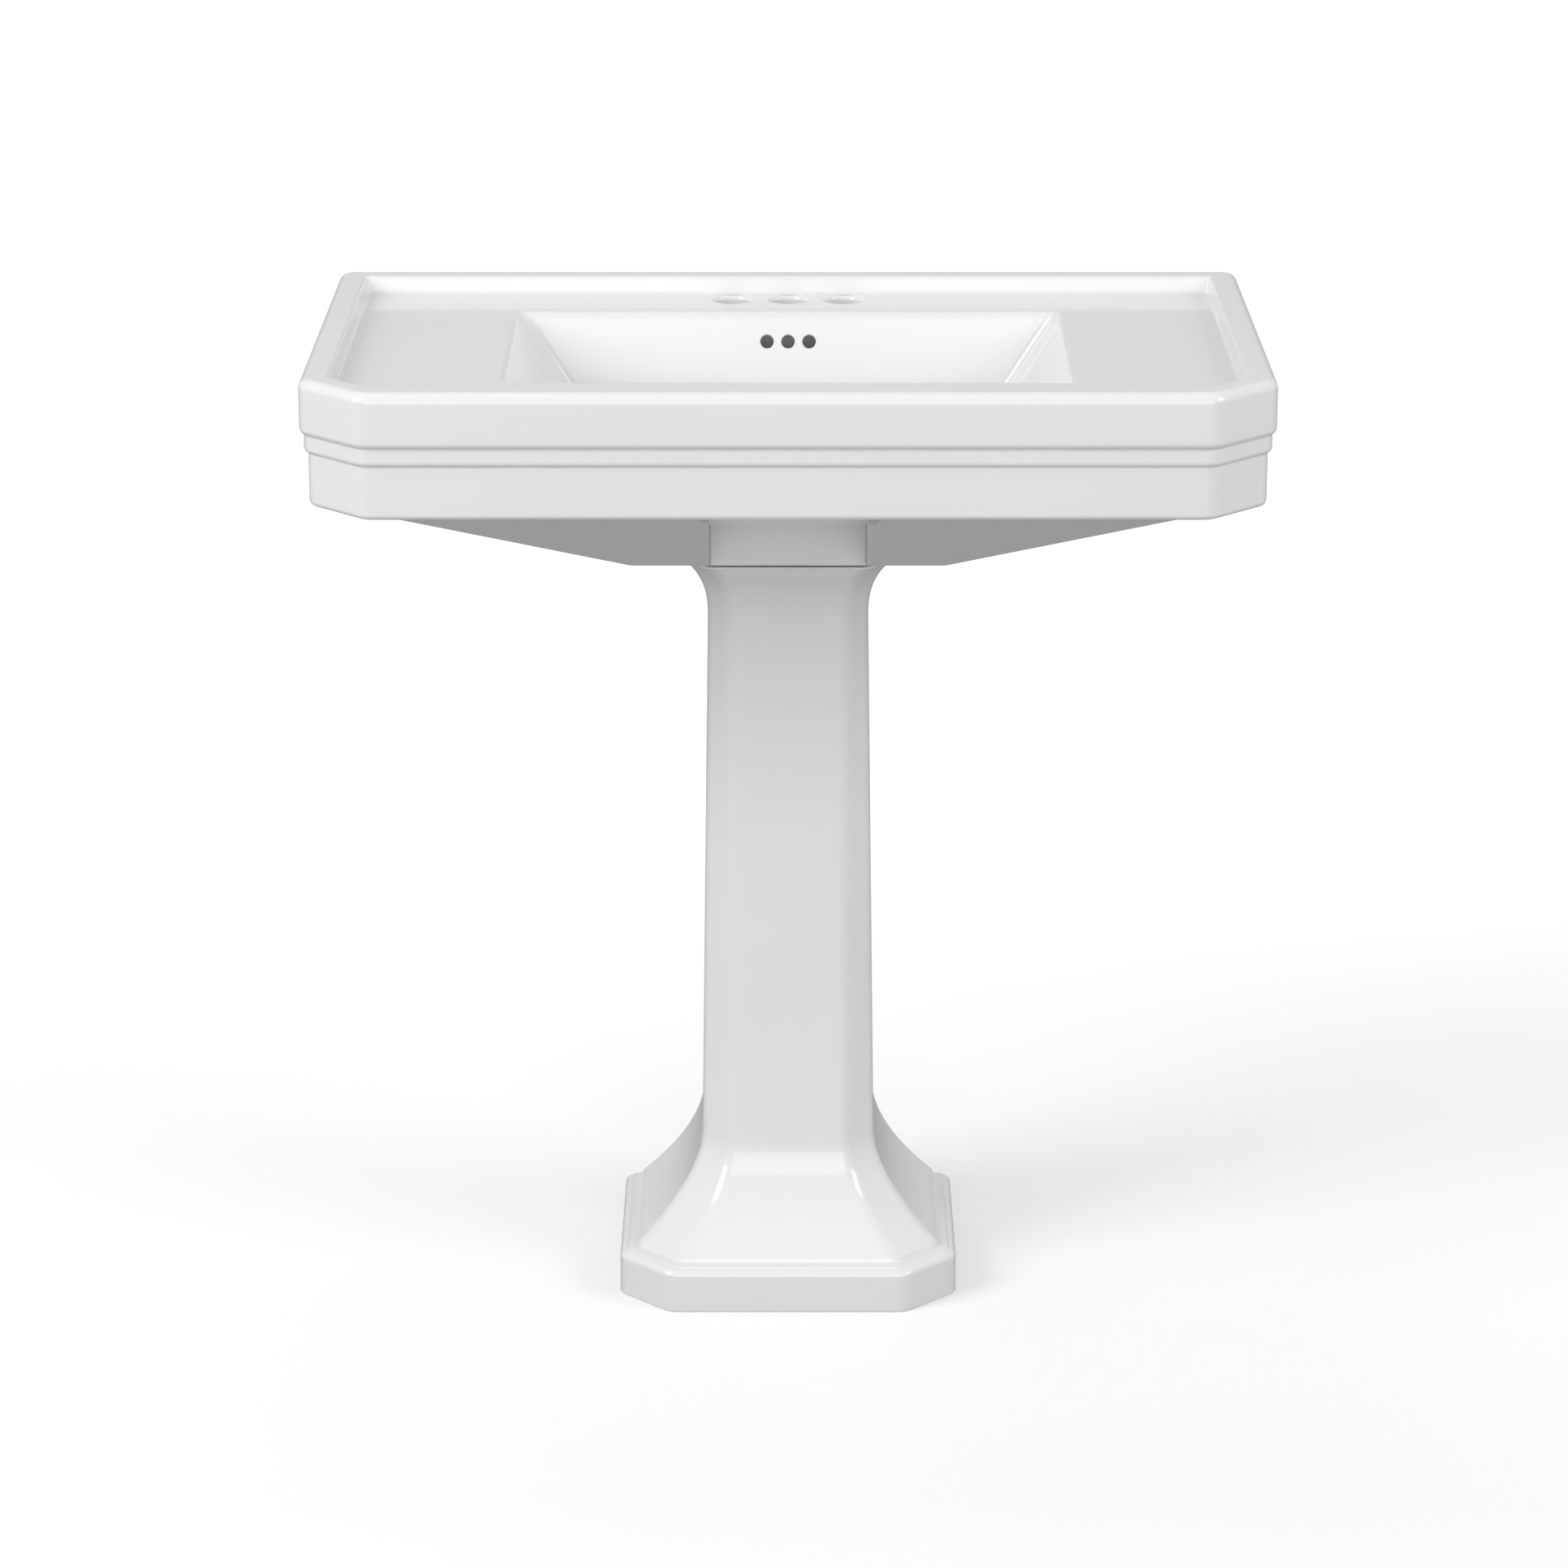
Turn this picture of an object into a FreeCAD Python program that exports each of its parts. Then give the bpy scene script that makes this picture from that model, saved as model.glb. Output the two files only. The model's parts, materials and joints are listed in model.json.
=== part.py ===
import FreeCAD, Part
import math
import os

# Pedestal sink: a vitreous china basin with a stepped apron and clipped front corners,
# carried by a hollow china pedestal, with its push-button waste and its P-trap.
# Millimetres. X is across, +Y points at the wall, +Z is up.
# The origin is on the floor, under the middle of the basin.

V = FreeCAD.Vector
UP = V(0, 0, 1)
BACKWARDS = V(0, 1, 0)

OVERRUN = 1.0               # how far a cutter runs past what it cuts
NEAR = 1e-2                 # closer than this, two heights are the same

# ---------------------------------------------------------------- basin, outside
BASIN_WIDTH = 825.0
BASIN_DEPTH = 500.0
RIM_HEIGHT = 889.0          # floor to the top of the rim
CORNER_CLIP = 54.0          # 45 degree clip of each front corner
BAND_TOP_HEIGHT = 48.5
BAND_MID_HEIGHT = 16.0
BAND_LOW_HEIGHT = 46.0
BAND_STEP = 3.5             # each band of the apron stands this far inside the one above
CHINA = 12.0                # wall of the china
CORNER_ROUND = 18.0         # vertical edges of the apron
TOP_EDGE_ROUND = 5.0
BAND_EDGE_ROUND = 4.0

# ---------------------------------------------------------------- basin, top
RIM_WIDTH = 25.5
RIM_STEP_RUN = 5.0
DECK_DROP = 16.0            # deck below the rim
BOWL_TO_SIDE = 168.5        # edge of the opening to the basin's side
BOWL_TO_FRONT = 113.0
BOWL_DEPTH = 140.0          # below the deck
BOWL_TO_WALL = 105.0
BOWL_SIDE_RUN = 94.0        # how far each wall comes in over the bowl's depth
BOWL_FRONT_RUN = 112.0
BOWL_BACK_RUN = 32.0
BOWL_CORNER_ROUND = 16.0
BOWL_WALL = 11.0
FAUCET_HOLE_DIA = 34.0
FAUCET_HOLE_SPACING = 50.8  # 4 inch centreset: outer holes 101.6 apart
FAUCET_HOLE_TO_WALL = 49.0
OVERFLOW_DIA = 12.0
OVERFLOW_SPACING = 19.0
OVERFLOW_BELOW_DECK = 26.0

# ---------------------------------------------------------------- basin, underside
SEAT_BELOW_BOWL = 49.5      # bowl floor to the flat seat under the basin
HOPPER_INSET = 20.0         # hopper inside the lower band where they meet
SEAT_HALF_WIDTH = 150.0
SEAT_FRONT_TO_WALL = 283.0
HOPPER_BACK_TO_WALL = 74.0  # behind this the underside is open for the faucet's shanks
SEAT_CLIP = 12.0
RECESS_HALF_WIDTH = 69.5    # recess in the hopper's front, in line with the pedestal
RECESS_TAPER = 3.2          # the recess is this much narrower each side at the apron
BOSS_PROUD = 2.0            # block in the recess stands this far in front of the seat edge
BOSS_EDGE_ROUND = 3.0
WALL_BOLT_DIA = 14.0
WALL_BOLT_SPACING = 280.0
WALL_BOLT_BELOW_RIM = 64.0

# ---------------------------------------------------------------- pedestal
SEAT_GAP = 1.0              # basin and pedestal, kept apart by the rubber pads
NECK_HALF_WIDTH = 71.7
FOOT_COLUMN_HALF_WIDTH = 78.5
NECK_DEPTH = 154.0          # front to back at the neck
FOOT_COLUMN_DEPTH = 161.5
PEDESTAL_TO_WALL = 113.0
COLUMN_CLIP = 21.0
COLUMN_FOOT_CLIP = 26.0
NECK_HEIGHT = 59.0          # the neck widens over this height
FLARE_TOP = 138.0
NECK_FLARE = 19.0           # how far the neck opens out under the seat
NECK_CURVE = 2.6            # power of the neck's flare
NECK_LIP = 2.0
FOOT_FLARE = 58.0
FOOT_CURVE = 1.85           # power of the foot's flare
FOOT_CLIP_GROWTH = 0.2      # the clipped corners widen with the foot
PLINTH_LEDGE = 17.0
PLINTH_HEIGHT = 40.0
PLINTH_CLIP = 46.0
LEDGE_RISE = 4.5
PEDESTAL_WALL = 12.0
PEDESTAL_EDGE_ROUND = 5.0
PLINTH_CORNER_ROUND = 20.0
FLARE_SECTIONS = 6
FLOOR_LUG_LENGTH = 44.0
FLOOR_LUG_HEIGHT = 14.0
FLOOR_LUG_ROOT = 2.0        # how far a lug runs into the wall beside it
FLOOR_BOLT_DIA = 10.0
FLOOR_BOLT_TO_BACK = 77.0
PAD_DIA = 8.0
PAD_POCKET_DEPTH = 2.0
PAD_POCKET_ROOM = 0.4
PAD_TO_PAD = 90.0

# ---------------------------------------------------------------- waste fitting
DRAIN_TO_WALL = 215.0
DRAIN_HOLE_ROOM = 0.25      # round the waste's collar
DRAIN_DISH_RIM = 9.0        # dish outside the flange
DRAIN_DISH_DEPTH = 4.0
DRAIN_DISH_FLAT = 1.0       # flat of the dish round the flange
DRAIN_FLANGE_LIP = 10.75    # flange outside the hole
DRAIN_FLANGE_THICK = 3.0
DRAIN_FLANGE_ROUND = 1.8
TAIL_THREAD_DEPTH = 0.925   # between the waste's bore and the tailpiece
DRAIN_BODY_WALL = 2.2
DRAIN_BODY_LENGTH = 88.0    # from under the flange
DRAIN_COLLAR_WALL = 3.0
DRAIN_COLLAR_HEIGHT = 8.0
OVERFLOW_SLOT_HEIGHT = 10.0
OVERFLOW_SLOT_WIDTH = 12.0
GASKET_THICK = 2.0
GASKET_INSET = 1.5          # its edge inside the flange's
TAPER_GASKET_LIP = 8.75     # rubber outside the hole
TAPER_GASKET_HEIGHT = 13.0
TAPER_NECK_HEIGHT = 4.0
TAPER_FOOT_INSET = 4.0      # its small end inside the washer's edge
FRICTION_WASHER_LIP = 7.75
FRICTION_WASHER_THICK = 1.5
LOCKNUT_WALL = 7.0
LOCKNUT_HEIGHT = 10.0
THREAD_ALLOWANCE = 0.05     # radial room between a nut and its thread
STOPPER_OVERLAP = 10.0      # cap outside the mouth
STOPPER_THICK = 4.0
STOPPER_TRAVEL = 9.0        # from open to closed
STOPPER_CLEARANCE = 0.3     # left under the closed cap and round its seal
SEAL_HEIGHT = 3.2
MOUTH_FLARE = 4.2           # conical mouth of the waste, wider than its bore
MOUTH_DEPTH = 6.0
STEM_DIA = 9.0
STEM_LENGTH = 30.0
CARTRIDGE_DIA = 17.0
CARTRIDGE_LENGTH = 38.0
CARTRIDGE_FLOOR = 2.5
CARTRIDGE_DROP = 12.0       # its top below the flange's top
CARTRIDGE_CAP_DIA = 21.0
CARTRIDGE_CAP_HEIGHT = 5.0
SPIDER_HEIGHT = 4.0
SPIDER_ARM = 3.0
SPIDER_RIM = 2.5
STEM_CLEARANCE = 0.08
SPRING_WIRE = 0.9
SPRING_DIA = 7.4
SPRING_TURNS = 7
LATCH_PIN_DIA = 2.0
LATCH_PIN_INSET = 0.3       # its ends inside the stem
SMALL_CHAMFER = 1.0

# ---------------------------------------------------------------- trap
TUBE_DIA = 31.75            # 1-1/4 inch tubular waste
TUBE_WALL = 1.0
TAILPIECE_OVERLAP = 16.0
TAILPIECE_IN_TRAP = 24.0
TAILPIECE_SHOULDER = 3.0
TAILPIECE_SEAL_THICK = 2.0
TRAP_ARM_HEIGHT = 470.0
BEND_RADIUS = 38.0
SOCKET_WALL = 3.125
BEND_SOCKET_LENGTH = 30.0
BEND_INLET_HEIGHT = 470.0
BEND_UNION_HEIGHT = 420.0
SLIP_NUT_WALL = 6.0
SLIP_NUT_LUG = 2.5
SLIP_LUG_WIDTH = 8.0
SLIP_NUT_HEIGHT = 20.0
SLIP_NUT_LUGS = 6
SLIP_LIP = 3.0
SLIP_WASHER_THICK = 4.0
UNION_WASHER_THICK = 2.0
UNION_COLLAR = 3.0
TRAP_LEG = 30.0             # straight outlet leg of the bend
TUBE_CLEARANCE = 0.3
ESCUTCHEON_REACH = 19.125
ESCUTCHEON_DEPTH = 10.0
ESCUTCHEON_NECK = 4.0       # its front edge outside the arm
ESCUTCHEON_SHEET = 1.0

# ---------------------------------------------------------------- worked out
FRONT_Y = -BASIN_DEPTH / 2
BACK_Y = BASIN_DEPTH / 2
DECK_Z = RIM_HEIGHT - DECK_DROP
BAND_MID_TOP = RIM_HEIGHT - BAND_TOP_HEIGHT
BAND_LOW_TOP = BAND_MID_TOP - BAND_MID_HEIGHT
APRON_BOTTOM = BAND_LOW_TOP - BAND_LOW_HEIGHT
CLIP_PER_INSET = 2 - math.sqrt(2)   # how a 45 degree clip shrinks as its outline moves in
SEAT_FRONT_Y = BACK_Y - SEAT_FRONT_TO_WALL
HOPPER_BACK_Y = BACK_Y - HOPPER_BACK_TO_WALL
BOSS_Y = SEAT_FRONT_Y - BOSS_PROUD
DRAIN_Y = BACK_Y - DRAIN_TO_WALL
BOWL_FLOOR_Z = DECK_Z - BOWL_DEPTH
SEAT_HEIGHT = BOWL_FLOOR_Z - SEAT_BELOW_BOWL
DISH_Z = BOWL_FLOOR_Z - DRAIN_DISH_DEPTH
FLANGE_TOP_Z = DISH_Z + GASKET_THICK + DRAIN_FLANGE_THICK
FAUCET_Y = BACK_Y - FAUCET_HOLE_TO_WALL
BOWL_BACK_Y = BACK_Y - BOWL_TO_WALL
WALL_BOLT_Z = RIM_HEIGHT - WALL_BOLT_BELOW_RIM
PEDESTAL_TOP = SEAT_HEIGHT - SEAT_GAP
NECK_BOTTOM = PEDESTAL_TOP - NECK_HEIGHT
PEDESTAL_BACK_Y = BACK_Y - PEDESTAL_TO_WALL
FLOOR_BOLT_Y = PEDESTAL_BACK_Y - FLOOR_BOLT_TO_BACK
BODY_BORE = TUBE_DIA + 2 * TAIL_THREAD_DEPTH
DRAIN_BODY_DIA = BODY_BORE + 2 * DRAIN_BODY_WALL
DRAIN_COLLAR_DIA = DRAIN_BODY_DIA + 2 * DRAIN_COLLAR_WALL
DRAIN_HOLE_DIA = DRAIN_COLLAR_DIA + 2 * DRAIN_HOLE_ROOM
DRAIN_FLANGE_DIA = DRAIN_HOLE_DIA + 2 * DRAIN_FLANGE_LIP
DRAIN_DISH_DIA = DRAIN_FLANGE_DIA + 2 * DRAIN_DISH_RIM
TAPER_GASKET_DIA = DRAIN_HOLE_DIA + 2 * TAPER_GASKET_LIP
FRICTION_WASHER_DIA = DRAIN_HOLE_DIA + 2 * FRICTION_WASHER_LIP
LOCKNUT_FLATS = DRAIN_BODY_DIA + 2 * LOCKNUT_WALL
MOUTH_DIA = BODY_BORE + 2 * MOUTH_FLARE
STOPPER_DIA = MOUTH_DIA + 2 * STOPPER_OVERLAP
BEND_SOCKET_DIA = TUBE_DIA + 2 * SOCKET_WALL
SLIP_NUT_DIA = BEND_SOCKET_DIA + 2 * SLIP_NUT_WALL
ESCUTCHEON_DIA = TUBE_DIA + 2 * ESCUTCHEON_REACH
BODY_BOTTOM_Z = FLANGE_TOP_Z - DRAIN_FLANGE_THICK - DRAIN_BODY_LENGTH
LOCK_TOP_Z = SEAT_HEIGHT - TAPER_GASKET_HEIGHT + TAPER_NECK_HEIGHT
TAIL_TOP_Z = BODY_BOTTOM_Z + TAILPIECE_OVERLAP
TAIL_BOTTOM_Z = BEND_INLET_HEIGHT - TAILPIECE_IN_TRAP
CAP_BOTTOM_Z = FLANGE_TOP_Z + STOPPER_CLEARANCE + STOPPER_TRAVEL
STEM_BOTTOM_Z = CAP_BOTTOM_Z - STEM_LENGTH
CARTRIDGE_TOP_Z = FLANGE_TOP_Z - CARTRIDGE_DROP
CARTRIDGE_BOTTOM_Z = CARTRIDGE_TOP_Z - CARTRIDGE_LENGTH
SPRING_BASE_Z = CARTRIDGE_BOTTOM_Z + CARTRIDGE_FLOOR
UNION_Y = DRAIN_Y + 2 * BEND_RADIUS


# ---------------------------------------------------------------- helpers
def outline(half_width, front, back, clip):
    """Plan of a block with its two front corners clipped at 45 degrees."""
    return [(-half_width, back), (-half_width, front + clip), (-half_width + clip, front),
            (half_width - clip, front), (half_width, front + clip), (half_width, back)]


def wire_at(points, z):
    corners = [V(x, y, z) for x, y in points]
    return Part.makePolygon(corners + corners[:1])


def prism(points, z0, z1):
    return Part.Face(wire_at(points, z0)).extrude(V(0, 0, z1 - z0))


def loft(sections, ruled=True):
    """Solid through (points, z) sections."""
    return Part.makeLoft([wire_at(points, z) for points, z in sections], True, ruled)


def box(x0, x1, y0, y1, z0, z1):
    return Part.makeBox(x1 - x0, y1 - y0, z1 - z0, V(x0, y0, z0))


def post(diameter, z0, z1, x=0.0, y=DRAIN_Y):
    return Part.makeCylinder(diameter / 2, z1 - z0, V(x, y, z0), UP)


def tube(outer, inner, z0, z1, x=0.0, y=DRAIN_Y):
    return post(outer, z0, z1, x, y).cut(post(inner, z0 - OVERRUN, z1 + OVERRUN, x, y))


def upright_edges(shape):
    """Edges that run up and down, without those of the flat back."""
    found = []
    back = shape.BoundBox.YMax
    for edge in shape.Edges:
        bounds = edge.BoundBox
        upright = bounds.XLength < NEAR and bounds.YLength < NEAR and bounds.ZLength > NEAR
        if upright and bounds.YMax < back - NEAR:
            found.append(edge)
    return found


def level_edges(shape, z):
    """Edges that lie at height z, without the one along the flat back."""
    back = shape.BoundBox.YMax
    found = []
    for edge in shape.Edges:
        bounds = edge.BoundBox
        if abs(bounds.ZMin - z) < NEAR and abs(bounds.ZMax - z) < NEAR and bounds.YMin < back - NEAR:
            found.append(edge)
    return found


def save(name, shape):
    if not shape.isValid():
        raise ValueError("invalid solid: " + name)
    shape.exportStep(os.path.join("parts", name + ".step"))
    print("%-24s solids %d  volume %.1f cm3" % (name, len(shape.Solids), shape.Volume / 1000))


# ---------------------------------------------------------------- basin
def apron_outline(inset, back=BACK_Y):
    return outline(BASIN_WIDTH / 2 - inset, FRONT_Y + inset, back, CORNER_CLIP - inset * CLIP_PER_INSET)


def band(inset, z0, z1, top_round):
    body = prism(apron_outline(inset), z0, z1)
    body = body.makeFillet(CORNER_ROUND, upright_edges(body))
    if top_round:
        body = body.makeFillet(top_round, level_edges(body, z1))
    return body.makeFillet(BAND_EDGE_ROUND, level_edges(body, z0))


def bowl_outline(depth, grow):
    """Plan of the bowl at a depth under the deck, its walls moved out by grow."""
    share = depth / BOWL_DEPTH
    half = BASIN_WIDTH / 2 - BOWL_TO_SIDE - BOWL_SIDE_RUN * share + grow
    front = FRONT_Y + BOWL_TO_FRONT + BOWL_FRONT_RUN * share - grow
    back = BOWL_BACK_Y - BOWL_BACK_RUN * share + grow
    return [(-half, back), (-half, front), (half, front), (half, back)]


def bowl_solid(grow, floor_drop, rounded):
    """The bowl's hollow, or with grow the outside of its walls."""
    above = DECK_DROP + OVERRUN if not grow else 0.0
    body = loft([(bowl_outline(-above, grow), DECK_Z + above),
                 (bowl_outline(BOWL_DEPTH + floor_drop, grow), BOWL_FLOOR_Z - floor_drop)])
    if rounded:
        sloped = [e for e in body.Edges if e.BoundBox.ZLength > 1]
        floor = [e for e in body.Edges if e.BoundBox.ZMax < BOWL_FLOOR_Z + 1]
        body = body.makeFillet(BOWL_CORNER_ROUND, sloped + floor)
    return body


def hopper(inset):
    """Underside from the apron down to the seat; inset moves every wall in."""
    top = outline(BASIN_WIDTH / 2 - 2 * BAND_STEP - HOPPER_INSET - inset,
                  FRONT_Y + 2 * BAND_STEP + HOPPER_INSET + inset, HOPPER_BACK_Y - inset,
                  CORNER_CLIP - (2 * BAND_STEP + HOPPER_INSET + inset) * CLIP_PER_INSET)
    seat = outline(SEAT_HALF_WIDTH - inset, SEAT_FRONT_Y + inset, HOPPER_BACK_Y - inset, SEAT_CLIP)
    rise = CHINA if inset else 0.0
    return loft([(seat, SEAT_HEIGHT + rise), (top, APRON_BOTTOM + rise)])


def recess(grow):
    """Recess in the hopper's front, up to the outside of the bowl."""
    wide = RECESS_HALF_WIDTH + grow
    narrow = wide - RECESS_TAPER
    back = BOSS_Y + grow + (BOSS_EDGE_ROUND if not grow else 0.0)
    front = FRONT_Y + 2 * BAND_STEP + CHINA
    plan = [(-wide, back), (-narrow, front), (narrow, front), (wide, back)]
    return prism(plan, SEAT_HEIGHT - OVERRUN, APRON_BOTTOM)


def boss():
    """Round-edged block at the back of the recess."""
    half = RECESS_HALF_WIDTH
    body = box(-half, half, BOSS_Y, SEAT_FRONT_Y + CHINA, SEAT_HEIGHT, APRON_BOTTOM)
    return body.makeFillet(BOSS_EDGE_ROUND, upright_edges(body))


def basin_hollow():
    """Space between the outer walls and the bowl: it is the overflow's way to the waste."""
    under_deck = DECK_Z - CHINA
    inner = apron_outline(2 * BAND_STEP + CHINA, HOPPER_BACK_Y - CHINA)
    space = prism(inner, APRON_BOTTOM + CHINA, under_deck).fuse(hopper(CHINA))
    space = space.cut(bowl_solid(BOWL_WALL, BOWL_WALL, False))
    return space.cut(recess(CHINA))


def faucet_space():
    """Open underside behind the bowl, where the faucet's nuts are reached."""
    half = BASIN_WIDTH / 2 - 2 * BAND_STEP - CHINA
    return box(-half, half, HOPPER_BACK_Y, BACK_Y - CHINA, APRON_BOTTOM - OVERRUN, DECK_Z - CHINA)


def deck_pocket():
    """Sunk deck inside the raised rim."""
    clip = CORNER_CLIP - RIM_WIDTH * CLIP_PER_INSET
    low_inset = RIM_WIDTH + RIM_STEP_RUN
    high = outline(BASIN_WIDTH / 2 - RIM_WIDTH, FRONT_Y + RIM_WIDTH, BACK_Y - RIM_WIDTH, clip)
    low = outline(BASIN_WIDTH / 2 - low_inset, FRONT_Y + low_inset, BACK_Y - low_inset,
                  CORNER_CLIP - low_inset * CLIP_PER_INSET)
    pocket = loft([(low, DECK_Z), (high, RIM_HEIGHT)])
    return pocket.fuse(prism(high, RIM_HEIGHT, RIM_HEIGHT + OVERRUN))


def basin_holes():
    holes = []
    for side in (-1, 0, 1):
        x = side * FAUCET_HOLE_SPACING
        holes.append(post(FAUCET_HOLE_DIA, DECK_Z - 2 * CHINA, RIM_HEIGHT, x, FAUCET_Y))
        start = V(side * OVERFLOW_SPACING, BOWL_BACK_Y - 2 * CHINA, DECK_Z - OVERFLOW_BELOW_DECK)
        holes.append(Part.makeCylinder(OVERFLOW_DIA / 2, 3 * CHINA, start, BACKWARDS))
    for side in (-1, 1):
        start = V(side * WALL_BOLT_SPACING / 2, BACK_Y - CHINA - OVERRUN, WALL_BOLT_Z)
        holes.append(Part.makeCylinder(WALL_BOLT_DIA / 2, CHINA + 2 * OVERRUN, start, BACKWARDS))
    holes.append(post(DRAIN_HOLE_DIA, SEAT_HEIGHT - OVERRUN, BOWL_FLOOR_Z + OVERRUN))
    holes.append(Part.makeCone(DRAIN_FLANGE_DIA / 2 + DRAIN_DISH_FLAT, DRAIN_DISH_DIA / 2, DRAIN_DISH_DEPTH,
                               V(0, DRAIN_Y, DISH_Z), UP))
    return holes


def basin():
    body = band(0.0, BAND_MID_TOP, RIM_HEIGHT, TOP_EDGE_ROUND)
    body = body.fuse(band(BAND_STEP, BAND_LOW_TOP, BAND_MID_TOP, 0))
    body = body.fuse(band(2 * BAND_STEP, APRON_BOTTOM, BAND_LOW_TOP, 0))
    body = body.fuse(hopper(0.0))
    body = body.cut(recess(0.0).cut(bowl_solid(BOWL_WALL, BOWL_WALL, False)).cut(boss()))
    body = body.cut(basin_hollow())
    body = body.cut(faucet_space())
    body = body.cut(deck_pocket())
    body = body.cut(bowl_solid(0.0, 0.0, True))
    for hole in basin_holes():
        body = body.cut(hole)
    return body


# ---------------------------------------------------------------- pedestal
def column_at(z):
    """Half width, front and clip of the plain column at height z."""
    share = (NECK_BOTTOM - z) / (NECK_BOTTOM - FLARE_TOP)
    half = NECK_HALF_WIDTH + (FOOT_COLUMN_HALF_WIDTH - NECK_HALF_WIDTH) * share
    front = PEDESTAL_BACK_Y - NECK_DEPTH - (FOOT_COLUMN_DEPTH - NECK_DEPTH) * share
    clip = COLUMN_CLIP + (COLUMN_FOOT_CLIP - COLUMN_CLIP) * share
    return half, front, clip


def pedestal_section(z, flare, inset, extra_clip=0.0):
    half, front, clip = column_at(z)
    back = PEDESTAL_BACK_Y + (OVERRUN if inset else 0.0)
    return outline(half + flare - inset, front - flare + inset, back,
                   clip + extra_clip - inset * CLIP_PER_INSET), z


def foot_sections(inset):
    """Sections of the foot's flare, which opens like a trumpet down to the plinth's ledge."""
    ledge = PLINTH_HEIGHT + LEDGE_RISE
    sections = []
    for step in range(FLARE_SECTIONS):
        share = step / (FLARE_SECTIONS - 1)
        offset = FOOT_FLARE * share ** FOOT_CURVE
        z = FLARE_TOP - (FLARE_TOP - ledge) * share
        sections.append(pedestal_section(z, offset, inset, FOOT_CLIP_GROWTH * offset))
    return sections


def neck_sections(inset):
    """Sections of the neck's flare, up to the lip under the seat."""
    lip = PEDESTAL_TOP - NECK_LIP
    sections = []
    for step in range(FLARE_SECTIONS):
        share = step / (FLARE_SECTIONS - 1)
        z = NECK_BOTTOM + (lip - NECK_BOTTOM) * share
        sections.append(pedestal_section(z, NECK_FLARE * share ** NECK_CURVE, inset))
    return sections


def plinth_outline(inset):
    half = FOOT_COLUMN_HALF_WIDTH + FOOT_FLARE + PLINTH_LEDGE - inset
    front = PEDESTAL_BACK_Y - FOOT_COLUMN_DEPTH - FOOT_FLARE - PLINTH_LEDGE + inset
    back = PEDESTAL_BACK_Y + (OVERRUN if inset else 0.0)
    return outline(half, front, back, PLINTH_CLIP - inset * CLIP_PER_INSET)


def pedestal_outside():
    plinth = prism(plinth_outline(0.0), 0, PLINTH_HEIGHT)
    plinth = plinth.makeFillet(PLINTH_CORNER_ROUND, upright_edges(plinth))
    plinth = plinth.makeFillet(PEDESTAL_EDGE_ROUND, level_edges(plinth, PLINTH_HEIGHT))
    foot = foot_sections(0.0)
    neck = neck_sections(0.0)
    ledge = loft([(plinth_outline(PEDESTAL_EDGE_ROUND), PLINTH_HEIGHT), foot[-1]])
    body = plinth.fuse(ledge).fuse(loft(foot[::-1], False))
    body = body.fuse(loft([foot[0], neck[0]]))
    body = body.fuse(loft(neck, False))
    return body.fuse(prism(neck[-1][0], neck[-1][1], PEDESTAL_TOP))


def pedestal_inside():
    foot = foot_sections(PEDESTAL_WALL)
    neck = neck_sections(PEDESTAL_WALL)
    body = prism(plinth_outline(PEDESTAL_WALL), -OVERRUN, PLINTH_HEIGHT - PEDESTAL_WALL / 2)
    body = body.fuse(loft([(plinth_outline(PEDESTAL_WALL), PLINTH_HEIGHT - PEDESTAL_WALL / 2), foot[-1]]))
    body = body.fuse(loft(foot[::-1], False))
    body = body.fuse(loft([foot[0], neck[0]]))
    body = body.fuse(loft(neck, False))
    return body.fuse(prism(neck[-1][0], neck[-1][1], PEDESTAL_TOP + OVERRUN))


def floor_bolt_x():
    return FOOT_COLUMN_HALF_WIDTH + FOOT_FLARE + PLINTH_LEDGE - PEDESTAL_WALL - FLOOR_LUG_LENGTH / 2


def floor_lugs():
    """Inner lugs of the foot with the holes for the floor bolts."""
    lugs = []
    for side in (-1, 1):
        x = side * floor_bolt_x()
        reach = FLOOR_LUG_LENGTH / 2 + FLOOR_LUG_ROOT
        lug = box(x - reach, x + reach, FLOOR_BOLT_Y - reach, FLOOR_BOLT_Y + reach, 0, FLOOR_LUG_HEIGHT)
        lugs.append(lug.cut(post(FLOOR_BOLT_DIA, -OVERRUN, FLOOR_LUG_HEIGHT + OVERRUN, x, FLOOR_BOLT_Y)))
    return lugs


def pad_places():
    """Middle of each pad on the top of the neck's walls."""
    half, front, clip = column_at(PEDESTAL_TOP)
    x = half + NECK_FLARE - PEDESTAL_WALL / 2
    middle = (front + clip + PEDESTAL_BACK_Y) / 2
    return [(side * x, middle + row * PAD_TO_PAD / 2) for side in (-1, 1) for row in (-1, 1)]


def pedestal():
    body = pedestal_outside().cut(pedestal_inside())
    for lug in floor_lugs():
        body = body.fuse(lug)
    floor = PEDESTAL_TOP - PAD_POCKET_DEPTH
    for x, y in pad_places():
        body = body.cut(post(PAD_DIA + PAD_POCKET_ROOM, floor, PEDESTAL_TOP + OVERRUN, x, y))
    return body


def setting_pads():
    """Rubber pads between the pedestal and the basin's seat."""
    return Part.makeCompound([post(PAD_DIA, PEDESTAL_TOP - PAD_POCKET_DEPTH, SEAT_HEIGHT, x, y)
                              for x, y in pad_places()])


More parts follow.
